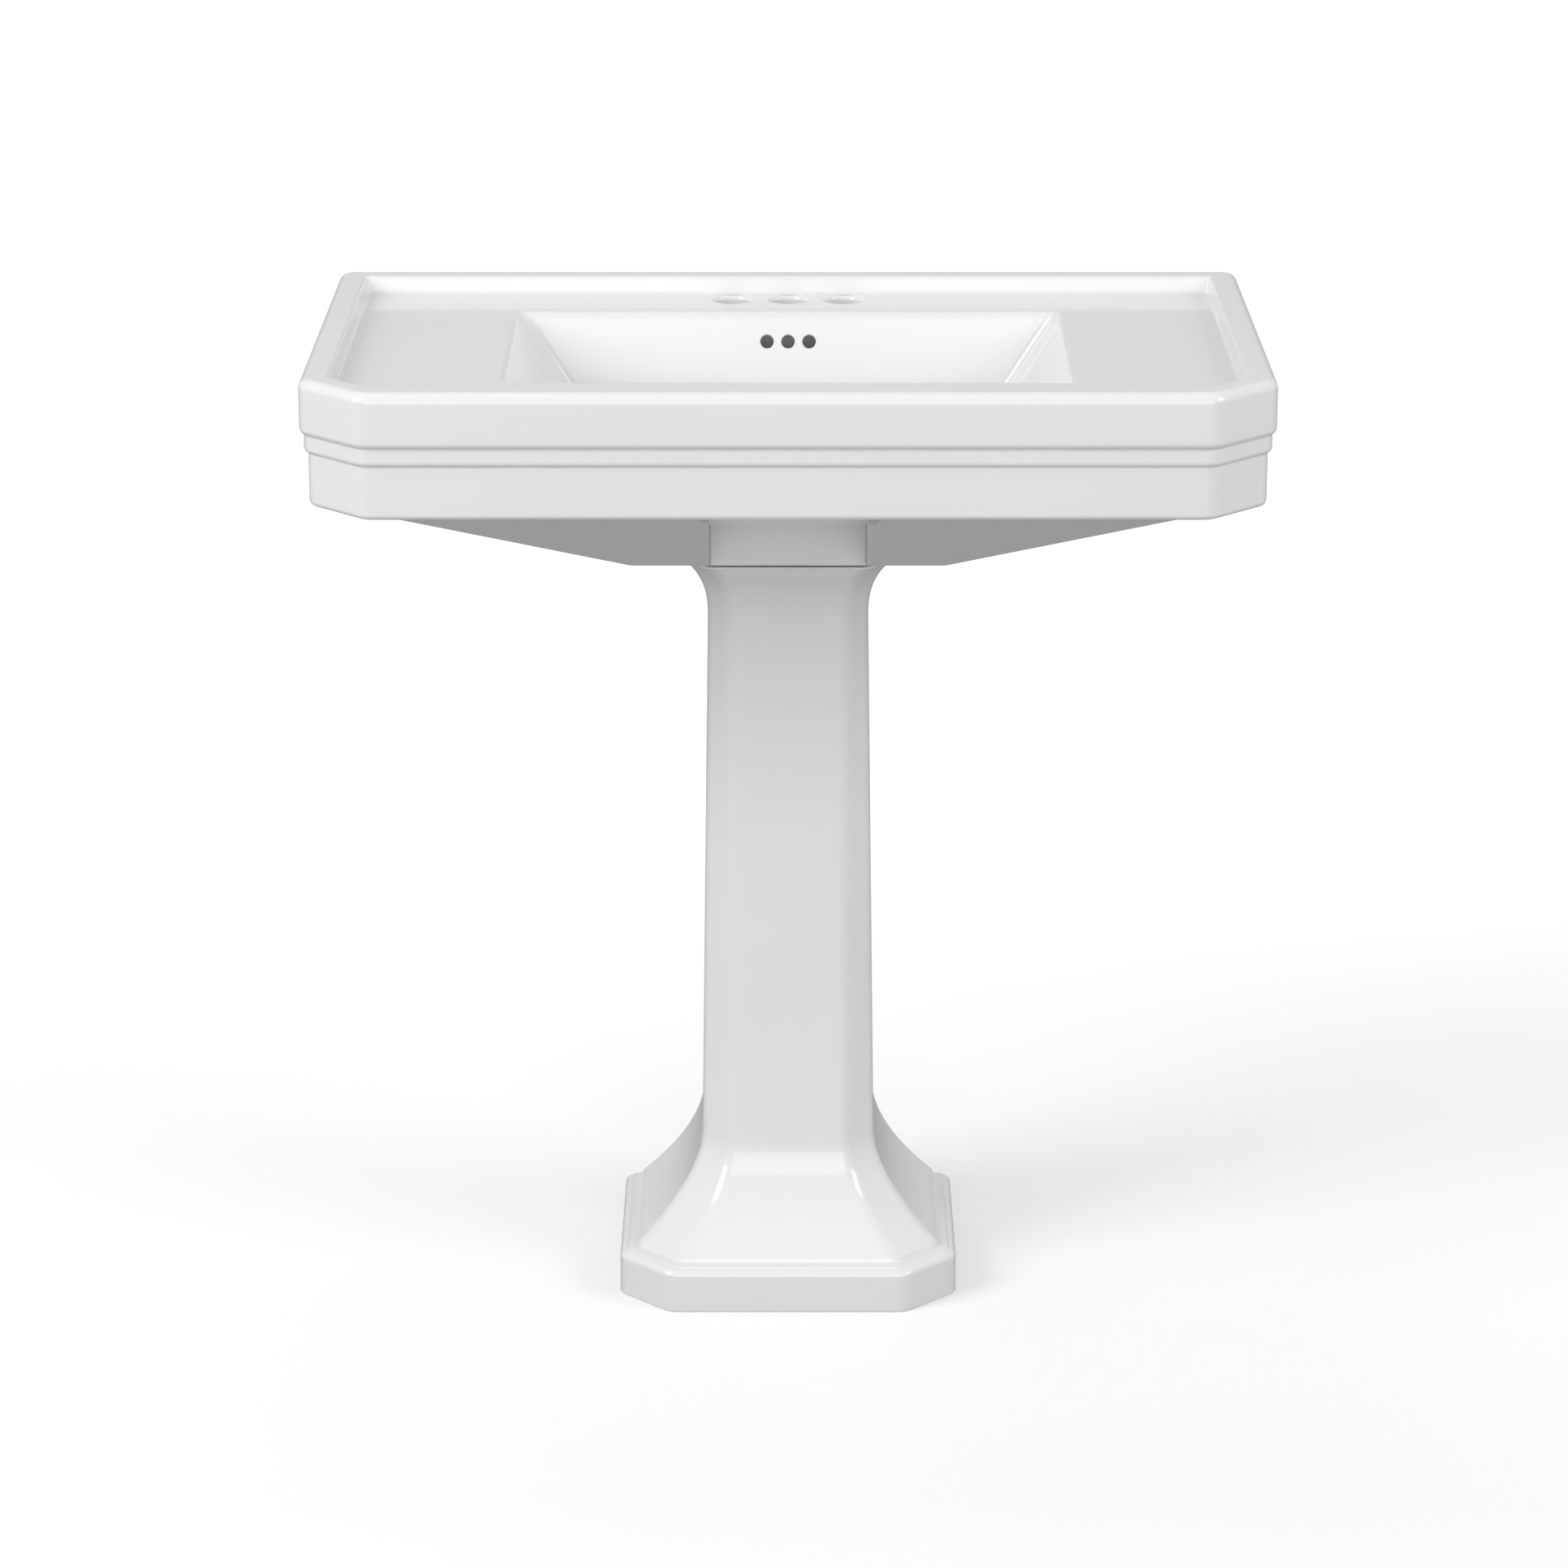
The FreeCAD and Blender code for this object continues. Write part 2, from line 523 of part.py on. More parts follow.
# ---------------------------------------------------------------- waste fitting
def drain_body():
    """Flanged tube through the basin, with slots that let the overflow in."""
    flange_bottom = FLANGE_TOP_Z - DRAIN_FLANGE_THICK
    body = post(DRAIN_FLANGE_DIA, flange_bottom, FLANGE_TOP_Z)
    body = body.makeFillet(DRAIN_FLANGE_ROUND, level_edges(body, FLANGE_TOP_Z))
    body = body.fuse(post(DRAIN_COLLAR_DIA, flange_bottom - DRAIN_COLLAR_HEIGHT, flange_bottom))
    body = body.fuse(post(DRAIN_BODY_DIA, BODY_BOTTOM_Z, flange_bottom))
    body = body.cut(post(BODY_BORE, BODY_BOTTOM_Z - OVERRUN, FLANGE_TOP_Z + OVERRUN))
    body = body.cut(Part.makeCone(BODY_BORE / 2, MOUTH_DIA / 2, MOUTH_DEPTH,
                                  V(0, DRAIN_Y, FLANGE_TOP_Z - MOUTH_DEPTH), UP))
    slot_z = (SEAT_HEIGHT + CHINA + BOWL_FLOOR_Z - BOWL_WALL) / 2
    half_width = OVERFLOW_SLOT_WIDTH / 2
    half_height = OVERFLOW_SLOT_HEIGHT / 2
    slot = box(-DRAIN_BODY_DIA, DRAIN_BODY_DIA, DRAIN_Y - half_width, DRAIN_Y + half_width,
               slot_z - half_height, slot_z + half_height)
    outer_slot = slot.cut(post(BODY_BORE, slot_z - OVERFLOW_SLOT_HEIGHT, slot_z + OVERFLOW_SLOT_HEIGHT))
    return body.cut(outer_slot)


def drain_crossbar():
    """Cross with a ring that carries the cartridge in the waste's bore."""
    top = CARTRIDGE_TOP_Z - CARTRIDGE_CAP_HEIGHT
    z0 = top - SPIDER_HEIGHT
    reach = BODY_BORE / 2
    across = box(-reach, reach, DRAIN_Y - SPIDER_ARM / 2, DRAIN_Y + SPIDER_ARM / 2, z0, top)
    along = box(-SPIDER_ARM / 2, SPIDER_ARM / 2, DRAIN_Y - reach, DRAIN_Y + reach, z0, top)
    cross = across.fuse(along).common(post(BODY_BORE, z0, top))
    ring = post(CARTRIDGE_DIA + 2 * SPIDER_RIM, z0, top)
    return cross.fuse(ring).cut(post(CARTRIDGE_DIA, z0 - OVERRUN, top + OVERRUN))


def drain_flange_gasket():
    return tube(DRAIN_FLANGE_DIA - 2 * GASKET_INSET, DRAIN_HOLE_DIA, DISH_Z, DISH_Z + GASKET_THICK)


def drain_tapered_gasket():
    """Rubber cone that seals the hole from below."""
    top = SEAT_HEIGHT + TAPER_NECK_HEIGHT
    neck = post(DRAIN_HOLE_DIA, SEAT_HEIGHT, top)
    foot = FRICTION_WASHER_DIA / 2 - TAPER_FOOT_INSET
    cone = Part.makeCone(foot, TAPER_GASKET_DIA / 2, TAPER_GASKET_HEIGHT - TAPER_NECK_HEIGHT,
                         V(0, DRAIN_Y, LOCK_TOP_Z), UP)
    bore = DRAIN_BODY_DIA + 2 * THREAD_ALLOWANCE
    return neck.fuse(cone).cut(post(bore, LOCK_TOP_Z - OVERRUN, top + OVERRUN))


def drain_friction_washer():
    inner = DRAIN_BODY_DIA + 2 * THREAD_ALLOWANCE
    return tube(FRICTION_WASHER_DIA, inner, LOCK_TOP_Z - FRICTION_WASHER_THICK, LOCK_TOP_Z)


def drain_locknut():
    top = LOCK_TOP_Z - FRICTION_WASHER_THICK
    bottom = top - LOCKNUT_HEIGHT
    radius = LOCKNUT_FLATS / math.sqrt(3)
    corners = [(radius * math.cos(math.radians(60 * k)), DRAIN_Y + radius * math.sin(math.radians(60 * k)))
               for k in range(6)]
    bore = DRAIN_BODY_DIA + 2 * THREAD_ALLOWANCE
    return prism(corners, bottom, top).cut(post(bore, bottom - OVERRUN, top + OVERRUN))


def stopper_cap():
    """Low dome that closes the waste."""
    rise = STOPPER_THICK / 2
    radius = ((STOPPER_DIA / 2) ** 2 + rise ** 2) / (2 * rise)
    dome = Part.makeSphere(radius, V(0, DRAIN_Y, CAP_BOTTOM_Z + STOPPER_THICK - radius))
    return post(STOPPER_DIA, CAP_BOTTOM_Z, CAP_BOTTOM_Z + STOPPER_THICK + OVERRUN).common(dome)


def mouth_radius(below):
    """Radius of the waste's conical mouth at a depth below the flange's top."""
    return MOUTH_DIA / 2 - (MOUTH_DIA - BODY_BORE) / 2 * below / MOUTH_DEPTH


def stopper_seal():
    """Rubber cone under the cap; closed, it fills the mouth."""
    bottom = mouth_radius(SEAL_HEIGHT) - STOPPER_CLEARANCE
    top = mouth_radius(0) - STOPPER_CLEARANCE
    cone = Part.makeCone(bottom, top, SEAL_HEIGHT, V(0, DRAIN_Y, CAP_BOTTOM_Z - SEAL_HEIGHT), UP)
    return cone.cut(post(STEM_DIA, CAP_BOTTOM_Z - SEAL_HEIGHT - OVERRUN, CAP_BOTTOM_Z + OVERRUN))


def stopper_stem():
    """Plunger of the stopper, drilled across for the latch pin."""
    stem = post(STEM_DIA, STEM_BOTTOM_Z, CAP_BOTTOM_Z)
    stem = stem.makeChamfer(SMALL_CHAMFER, level_edges(stem, STEM_BOTTOM_Z))
    return stem.cut(latch_pin())


def latch_pin():
    """Cross pin of the push-push latch; it stays inside the stem."""
    z = STEM_BOTTOM_Z + 2 * LATCH_PIN_DIA
    start = V(LATCH_PIN_INSET - STEM_DIA / 2, DRAIN_Y, z)
    return Part.makeCylinder(LATCH_PIN_DIA / 2, STEM_DIA - 2 * LATCH_PIN_INSET, start, V(1, 0, 0))


def cartridge_housing():
    """Cup of the push-button cartridge: it guides the stem and holds the spring."""
    shell = post(CARTRIDGE_DIA, CARTRIDGE_BOTTOM_Z, CARTRIDGE_TOP_Z)
    return shell.cut(post(STEM_DIA + 2 * STEM_CLEARANCE, SPRING_BASE_Z, CARTRIDGE_TOP_Z + OVERRUN))


def cartridge_collar():
    """Ring nut that clamps the cartridge on the crossbar."""
    collar = tube(CARTRIDGE_CAP_DIA, CARTRIDGE_DIA, CARTRIDGE_TOP_Z - CARTRIDGE_CAP_HEIGHT, CARTRIDGE_TOP_Z)
    outer = [e for e in level_edges(collar, CARTRIDGE_TOP_Z) if e.Curve.Radius > CARTRIDGE_DIA / 2 + NEAR]
    return collar.makeChamfer(SMALL_CHAMFER, outer)


def stopper_spring():
    """Return spring between the cup's floor and the stem."""
    length = STEM_BOTTOM_Z - SPRING_BASE_Z - SPRING_WIRE
    radius = (SPRING_DIA - SPRING_WIRE) / 2
    helix = Part.makeHelix(length / SPRING_TURNS, length, radius)
    wire = Part.Wire([Part.Circle(V(radius, 0, 0), BACKWARDS, SPRING_WIRE / 2).toShape()])
    coil = Part.Wire(helix.Edges).makePipeShell([wire], True, True)
    coil.translate(V(0, DRAIN_Y, SPRING_BASE_Z + SPRING_WIRE / 2))
    return coil


# ---------------------------------------------------------------- trap
def tailpiece():
    """Straight pipe from the waste down into the trap, with a threaded collar and a shoulder."""
    bore = TUBE_DIA - 2 * TUBE_WALL
    shoulder_top = BODY_BOTTOM_Z - TAILPIECE_SEAL_THICK
    collar = tube(BODY_BORE - 2 * THREAD_ALLOWANCE, bore, BODY_BOTTOM_Z, TAIL_TOP_Z)
    shoulder = tube(DRAIN_BODY_DIA, bore, shoulder_top - TAILPIECE_SHOULDER, shoulder_top)
    return tube(TUBE_DIA, bore, TAIL_BOTTOM_Z, TAIL_TOP_Z).fuse(collar).fuse(shoulder)


def tailpiece_seal():
    return tube(DRAIN_BODY_DIA, TUBE_DIA, BODY_BOTTOM_Z - TAILPIECE_SEAL_THICK, BODY_BOTTOM_Z)


def pipe_along(edges, outer, inner, start, direction):
    """Pipe of a given outer and inner diameter along joined edges."""
    path = Part.Wire(edges)
    solids = []
    for diameter in (outer, inner):
        ring = Part.Wire([Part.Circle(start, direction, diameter / 2).toShape()])
        solids.append(path.makePipeShell([ring], True, True))
    return solids[0].cut(solids[1])


def trap_bend():
    """U-shaped bend that holds the water seal, with a socket and a threaded end."""
    bore = TUBE_DIA - 2 * TUBE_WALL
    inlet_z = BEND_INLET_HEIGHT - BEND_SOCKET_LENGTH
    outlet_z = BEND_UNION_HEIGHT - UNION_WASHER_THICK
    knee_z = outlet_z - TRAP_LEG
    inlet = V(0, DRAIN_Y, inlet_z)
    knee = V(0, DRAIN_Y, knee_z)
    lowest = V(0, DRAIN_Y + BEND_RADIUS, knee_z - BEND_RADIUS)
    rise = V(0, UNION_Y, knee_z)
    edges = [Part.LineSegment(inlet, knee).toShape(), Part.Arc(knee, lowest, rise).toShape(),
             Part.LineSegment(rise, V(0, UNION_Y, outlet_z)).toShape()]
    body = pipe_along(edges, TUBE_DIA, bore, inlet, UP)
    body = body.fuse(tube(BEND_SOCKET_DIA, TUBE_DIA + 2 * TUBE_CLEARANCE, inlet_z, BEND_INLET_HEIGHT))
    body = body.fuse(tube(BEND_SOCKET_DIA, bore, inlet_z - SLIP_LIP, inlet_z))
    return body.fuse(tube(BEND_SOCKET_DIA, bore, outlet_z - 2 * UNION_COLLAR, outlet_z, 0.0, UNION_Y))


def trap_arm():
    """Elbow and arm that run from the union to the wall."""
    bore = TUBE_DIA - 2 * TUBE_WALL
    eased = BEND_RADIUS * (1 - math.sqrt(0.5))
    start = V(0, UNION_Y, BEND_UNION_HEIGHT)
    knee = V(0, UNION_Y, TRAP_ARM_HEIGHT - BEND_RADIUS)
    middle = V(0, UNION_Y + eased, TRAP_ARM_HEIGHT - eased)
    turn = V(0, UNION_Y + BEND_RADIUS, TRAP_ARM_HEIGHT)
    edges = [Part.LineSegment(start, knee).toShape(), Part.Arc(knee, middle, turn).toShape(),
             Part.LineSegment(turn, V(0, BACK_Y, TRAP_ARM_HEIGHT)).toShape()]
    body = pipe_along(edges, TUBE_DIA, bore, start, UP)
    return body.fuse(tube(BEND_SOCKET_DIA, bore, start.z, start.z + UNION_COLLAR, 0.0, UNION_Y))


def slip_nut(top, y):
    """Lugged nut: its bore turns on a threaded neck and its lip presses down on what it holds."""
    bottom = top - SLIP_NUT_HEIGHT
    nut = post(SLIP_NUT_DIA - 2 * SLIP_NUT_LUG, bottom, top, 0.0, y)
    for k in range(SLIP_NUT_LUGS):
        lug = box(SLIP_NUT_DIA / 2 - SLIP_NUT_WALL, SLIP_NUT_DIA / 2,
                  -SLIP_LUG_WIDTH / 2, SLIP_LUG_WIDTH / 2, bottom, top)
        lug.rotate(V(0, 0, 0), UP, 360 / SLIP_NUT_LUGS * k + 180 / SLIP_NUT_LUGS)
        lug.translate(V(0, y, 0))
        nut = nut.fuse(lug)
    nut = nut.cut(post(BEND_SOCKET_DIA + 2 * TUBE_CLEARANCE, bottom - OVERRUN, top - SLIP_LIP, 0.0, y))
    return nut.cut(post(TUBE_DIA + 2 * TUBE_CLEARANCE, bottom, top + OVERRUN, 0.0, y))


def trap_inlet_nut():
    return slip_nut(BEND_INLET_HEIGHT + SLIP_WASHER_THICK + SLIP_LIP, DRAIN_Y)


def trap_inlet_washer():
    return tube(BEND_SOCKET_DIA, TUBE_DIA, BEND_INLET_HEIGHT, BEND_INLET_HEIGHT + SLIP_WASHER_THICK)


def trap_union_nut():
    return slip_nut(BEND_UNION_HEIGHT + UNION_COLLAR + SLIP_LIP, UNION_Y)


def trap_union_washer():
    return tube(BEND_SOCKET_DIA, TUBE_DIA - 2 * TUBE_WALL, BEND_UNION_HEIGHT - UNION_WASHER_THICK,
                BEND_UNION_HEIGHT, 0.0, UNION_Y)


def wall_escutcheon():
    """Plate that covers the hole in the wall round the trap's arm."""
    centre = V(0, BACK_Y, TRAP_ARM_HEIGHT)
    neck = TUBE_DIA / 2 + ESCUTCHEON_NECK
    outer = Part.makeCone(ESCUTCHEON_DIA / 2, neck, ESCUTCHEON_DEPTH, centre, V(0, -1, 0))
    inner = Part.makeCone(ESCUTCHEON_DIA / 2 - ESCUTCHEON_SHEET, neck - ESCUTCHEON_SHEET,
                          ESCUTCHEON_DEPTH - ESCUTCHEON_SHEET, centre, V(0, -1, 0))
    hole = Part.makeCylinder(TUBE_DIA / 2 + THREAD_ALLOWANCE, 2 * ESCUTCHEON_DEPTH,
                             centre - BACKWARDS * ESCUTCHEON_DEPTH * 1.5, BACKWARDS)
    return outer.cut(inner).cut(hole)


# ---------------------------------------------------------------- all parts
def main():
    os.makedirs("parts", exist_ok=True)
    for make in (basin, pedestal, setting_pads, drain_body, drain_crossbar, drain_flange_gasket,
                 drain_tapered_gasket, drain_friction_washer, drain_locknut, stopper_cap, stopper_seal,
                 stopper_stem, latch_pin, cartridge_housing, cartridge_collar, stopper_spring, tailpiece,
                 tailpiece_seal, trap_inlet_nut, trap_inlet_washer, trap_bend, trap_union_nut,
                 trap_union_washer, trap_arm, wall_escutcheon):
        save(make.__name__, make())


main()
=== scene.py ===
import json
import math

import bmesh
import bpy
from mathutils import Matrix, Vector


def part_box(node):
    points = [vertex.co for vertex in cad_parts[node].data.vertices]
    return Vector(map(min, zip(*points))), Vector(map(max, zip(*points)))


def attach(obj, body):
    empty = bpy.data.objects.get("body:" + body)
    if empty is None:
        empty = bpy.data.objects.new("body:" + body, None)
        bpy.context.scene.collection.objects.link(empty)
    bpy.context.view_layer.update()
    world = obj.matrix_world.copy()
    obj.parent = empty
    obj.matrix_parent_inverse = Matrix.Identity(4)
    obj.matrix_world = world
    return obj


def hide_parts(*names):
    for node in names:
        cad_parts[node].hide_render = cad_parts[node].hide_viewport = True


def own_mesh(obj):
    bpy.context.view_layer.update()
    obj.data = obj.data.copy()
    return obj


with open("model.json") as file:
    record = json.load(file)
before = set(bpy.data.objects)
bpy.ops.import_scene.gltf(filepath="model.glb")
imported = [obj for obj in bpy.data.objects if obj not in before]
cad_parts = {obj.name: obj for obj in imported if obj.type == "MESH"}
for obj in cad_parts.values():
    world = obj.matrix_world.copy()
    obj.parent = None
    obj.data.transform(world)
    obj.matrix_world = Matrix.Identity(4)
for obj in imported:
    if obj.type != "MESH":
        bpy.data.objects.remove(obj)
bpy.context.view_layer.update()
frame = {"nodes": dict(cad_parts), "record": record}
MM = 0.001

# ------------------------------------------------------------------ sizes, mm
BASIN_LOW, BASIN_HIGH = (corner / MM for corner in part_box("basin"))
PEDESTAL_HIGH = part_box("pedestal")[1] / MM
FLANGE_LOW, FLANGE_HIGH = (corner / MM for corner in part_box("drain_body"))
HALF_WIDTH = BASIN_HIGH.x
FRONT_Y = BASIN_LOW.y
BACK_Y = BASIN_HIGH.y
RIM_Z = BASIN_HIGH.z
SEAT_Z = BASIN_LOW.z
DRAIN_Y = (FLANGE_LOW.y + FLANGE_HIGH.y) / 2

CLIP = 54.0                   # 45 degree front corners
CLIP_PER_INSET = 2 - math.sqrt(2)
FRONT_ROUND = 22.0            # vertical edges of the apron
BACK_ROUND = 9.0
FRONT_TIGHTEN, FRONT_ROUND_MIN = 0.45, 6.0   # how the edges sharpen on rings further in
BACK_TIGHTEN, BACK_ROUND_MIN = 0.2, 3.0
BAND_STEP = 3.5
MID_TOP_Z = RIM_Z - 48.5
LOW_TOP_Z = MID_TOP_Z - 16.0
APRON_Z = LOW_TOP_Z - 46.0
LOW_BAND_ROUND = 5.0          # lower edges of the three bands
MID_BAND_ROUND = 5.0
TOP_BAND_ROUND = 6.0
RIM_ROUND = 9.0
RIM_INNER_ROUND = 3.2
RIM_WIDTH = 25.5
STEP_RUN = 5.0
DECK_COVE = 3.0               # hollow curve where the deck meets the rim
DECK_Z = RIM_Z - 16.0

BOWL_HALF = 244.0
BOWL_BACK_Y = BACK_Y - 105.0
BOWL_FRONT_Y = BOWL_BACK_Y - 282.0
BOWL_DEPTH = 140.0
BOWL_RUNS = {"side": 94.0, "back": 32.0, "front": 112.0}
BOWL_LIP_ROUND = 7.0
BOWL_FOOT_ROUND = 18.0
DISH_RADIUS = 42.0
DISH_DEPTH = 4.0
DRAIN_RADIUS = 22.25
FLANGE_RADIUS = (FLANGE_HIGH.x - FLANGE_LOW.x) / 2

HOPPER_INSET = 20.0
SEAT_HALF = 150.0
SEAT_FRONT_Y = BACK_Y - 283.0
HOPPER_BACK_Y = BACK_Y - 74.0
SEAT_CLIP = 12.0
SEAT_ROUND = 6.0
HOPPER_ROUND = 10.0           # where the slopes meet the apron
HOPPER_BACK_ROUND = 3.0
RECESS_HALF = 69.5            # recess in the front of the underside, and the block at its back
RECESS_TAPER = 3.2
BLOCK_EDGE_ROUND = 3.0
BLOCK_PROUD = 2.0
BOWL_SHELL = 11.0

FAUCET_RADIUS = 17.0
FAUCET_LIP = 4.5
FAUCET_SPACING = 50.8
FAUCET_Y = BACK_Y - 49.0
OVERFLOW_RADIUS = 6.0
OVERFLOW_LIP = 1.2
OVERFLOW_SPACING = 19.0
OVERFLOW_Z = DECK_Z - 26.0
PASSAGE_HALF = 60.0           # overflow passage behind the bowl's back wall
PASSAGE_WALL = 4.0
PASSAGE_ABOVE, PASSAGE_BELOW = 8.0, 70.0
WALL_BOLT_X = 140.0
WALL_BOLT_Z = RIM_Z - 64.0
WALL_BOLT_RADIUS = 7.0
WALL_BOLT_DEPTH = 20.0
BOLT_LIP = 1.0
POCKET_ROUND = 10.0
CHINA = 12.0                  # wall thickness
PAST = 5.0                    # how far a cutter runs past the surface it opens

ARC_STEPS = 8                 # facets round each corner of a plan
ROUND_STEPS = 8               # facets across a rounded edge of the bowl or the block
EDGE_CUTS = {"back": 23, "side": 13, "clip": 2, "front": 23}
PLAN_SIDES = ("back", "side", "clip", "front", "clip", "side")


# ------------------------------------------------------------------ mesh helpers
def new_object(name, bm):
    """Object from a bmesh whose points are in millimetres."""
    bmesh.ops.scale(bm, vec=(MM, MM, MM), verts=bm.verts)
    bmesh.ops.recalc_face_normals(bm, faces=bm.faces)
    mesh = bpy.data.meshes.new(name)
    bm.to_mesh(mesh)
    bm.free()
    obj = bpy.data.objects.new(name, mesh)
    bpy.context.scene.collection.objects.link(obj)
    return obj


def bridge_rings(bm, rings, closed=True, cap=False):
    """Quads between rings of equal length; closed joins the last ring to the first."""
    made = [[bm.verts.new(point) for point in ring] for ring in rings]
    pairs = list(zip(made, made[1:]))
    if closed:
        pairs.append((made[-1], made[0]))
    for low, high in pairs:
        for k in range(len(low)):
            n = (k + 1) % len(low)
            bm.faces.new((low[k], low[n], high[n], high[k]))
    if cap:
        bm.faces.new(made[0][::-1])
        bm.faces.new(made[-1])
    return made


def solid_from_rings(name, rings):
    bm = bmesh.new()
    bridge_rings(bm, rings, closed=False, cap=True)
    return new_object(name, bm)


def boolean(target, other, operation="DIFFERENCE"):
    """Cuts the other object from the target, or joins it on, and removes the other."""
    modifier = target.modifiers.new("cut", "BOOLEAN")
    modifier.operation = operation
    modifier.solver = "EXACT"
    modifier.object = other
    dg = bpy.context.evaluated_depsgraph_get()
    result = bpy.data.meshes.new_from_object(target.evaluated_get(dg))
    target.modifiers.clear()
    target.data = result
    bpy.data.objects.remove(other)


def smooth_with_creases(obj, angle_deg):
    """Smooth shading that leaves edges sharper than the angle crisp and flat faces flat."""
    bm = bmesh.new()
    bm.from_mesh(obj.data)
    limit = math.radians(angle_deg)
    for face in bm.faces:
        face.smooth = True
    for edge in bm.edges:
        edge.smooth = len(edge.link_faces) == 2 and edge.calc_face_angle(0.0) < limit
    bm.to_mesh(obj.data)
    bm.free()
    weighted = obj.modifiers.new("weighted", "WEIGHTED_NORMAL")
    weighted.keep_sharp = True
    weighted.weight = 80


# ------------------------------------------------------------------ plans
def corner_arc(before, here, after, radius):
    """Points on the arc that rounds a corner, from its first side to its second."""
    into, out = (here - before).normalized(), (after - here).normalized()
    turn = into.angle_signed(out)
    reach = radius * math.tan(abs(turn) / 2)
    start = here - into * reach
    centre = start + Vector((into.y, -into.x)) * math.copysign(radius, turn)
    points = []
    for step in range(ARC_STEPS + 1):
        arm = start - centre
        arm.rotate(Matrix.Rotation(-turn * step / ARC_STEPS, 2))
        points.append(centre + arm)
    return points


def points_between(start, end, count):
    return [start.lerp(end, step / (count + 1)) for step in range(1, count + 1)]


def rounded_plan(corners, radii, cuts):
    """Points round a polygon with rounded corners, and for each point its two sides and their mix."""
    count = len(corners)
    arcs = []
    for i in range(count):
        before, here, after = (Vector(corners[j % count]) for j in (i - 1, i, i + 1))
        arcs.append(corner_arc(before, here, after, radii[i]))
    points = []
    for i, corner in enumerate(arcs):
        points += [(p, (i - 1) % count, i, step / ARC_STEPS) for step, p in enumerate(corner)]
        side = points_between(corner[-1], arcs[(i + 1) % count][0], cuts[i])
        points += [(p, i, i, 0.0) for p in side]
    return points


def clipped_plan(half, front, back, clip, front_round, back_round):
    """Rectangle with clipped front corners, from the back right corner anticlockwise."""
    corners = [(half, back), (-half, back), (-half, front + clip), (-half + clip, front),
               (half - clip, front), (half, front + clip)]
    radii = [back_round, back_round] + [front_round] * 4
    return rounded_plan(corners, radii, [EDGE_CUTS[side] for side in PLAN_SIDES])


def level(plan, z):
    return [(p.x, p.y, z) for p, _, _, _ in plan]


def apron_ring(inset, z, back_inset=0.0):
    """Ring round the basin, inset from its outline, with corners that tighten as it goes in."""
    plan = clipped_plan(HALF_WIDTH - inset, FRONT_Y + inset, BACK_Y - back_inset,
                        CLIP - inset * CLIP_PER_INSET,
                        max(FRONT_ROUND - FRONT_TIGHTEN * inset, FRONT_ROUND_MIN),
                        max(BACK_ROUND - BACK_TIGHTEN * inset, BACK_ROUND_MIN))
    return level(plan, z)


def arc(centre_inset, centre_z, radius, start_deg, end_deg, steps):
    """(inset, z) points on an arc; 0 degrees points inwards and 90 up."""
    points = []
    for step in range(steps + 1):
        angle = math.radians(start_deg + (end_deg - start_deg) * step / steps)
        points.append((centre_inset + radius * math.cos(angle), centre_z + radius * math.sin(angle)))
    return points


# ------------------------------------------------------------------ basin
def hopper_ring(share, grow=0.0):
    """Ring on the sloped underside; share runs from the seat (0) to the apron (1)."""
    top_inset = 2 * BAND_STEP + HOPPER_INSET
    top = (HALF_WIDTH - top_inset, FRONT_Y + top_inset, CLIP - top_inset * CLIP_PER_INSET)
    seat = (SEAT_HALF, SEAT_FRONT_Y, SEAT_CLIP)
    half, front, clip = (a + (b - a) * share for a, b in zip(seat, top))
    z = SEAT_Z + (APRON_Z - SEAT_Z) * share
    back = HOPPER_BACK_Y + min(grow, 0.0)
    rounding = SEAT_ROUND + (HOPPER_ROUND - SEAT_ROUND) * share
    return level(clipped_plan(half + grow, front - grow, back, clip, rounding, HOPPER_BACK_ROUND), z)


def underside_rings():
    rings = [hopper_ring(0.0, -14.0), hopper_ring(0.0, -3.0), hopper_ring(0.0, -0.8)]
    rings += [hopper_ring(share) for share in (0.008, 0.03, 0.2, 0.4, 0.6, 0.8, 0.96, 0.985)]
    rings.append(hopper_ring(1.0, 1.5))
    return rings


def apron_rings():
    """From the bottom of the apron up its three bands and over the rim's outer edge."""
    low, mid = 2 * BAND_STEP, BAND_STEP
    rings = [apron_ring(low + 6, APRON_Z, 3.0)]
    bottom = arc(low + LOW_BAND_ROUND, APRON_Z + LOW_BAND_ROUND, LOW_BAND_ROUND, 270, 180, 6)
    for inset, z in bottom:
        rings.append(apron_ring(inset, z, max(inset - low - 2, 0) / 2))
    rings += [apron_ring(low, z) for z in (APRON_Z + 14, LOW_TOP_Z - 6)]
    rings += [apron_ring(low + 0.1, LOW_TOP_Z - 1.2), apron_ring(low + 0.25, LOW_TOP_Z - 0.2)]
    step = arc(mid + MID_BAND_ROUND, LOW_TOP_Z + MID_BAND_ROUND, MID_BAND_ROUND, 252, 180, 6)
    rings += [apron_ring(inset, z) for inset, z in step]
    rings += [apron_ring(mid + 0.1, MID_TOP_Z - 1.6), apron_ring(mid + 0.25, MID_TOP_Z - 0.2)]
    step = arc(TOP_BAND_ROUND, MID_TOP_Z + TOP_BAND_ROUND, TOP_BAND_ROUND, 244, 180, 7)
    rings += [apron_ring(inset, z) for inset, z in step]
    rings += [apron_ring(0.0, z) for z in (MID_TOP_Z + 14, RIM_Z - RIM_ROUND - 6)]
    for inset, z in arc(RIM_ROUND, RIM_Z - RIM_ROUND, RIM_ROUND, 180, 90, 8):
        rings.append(apron_ring(inset, z, inset * 0.5))
    return rings


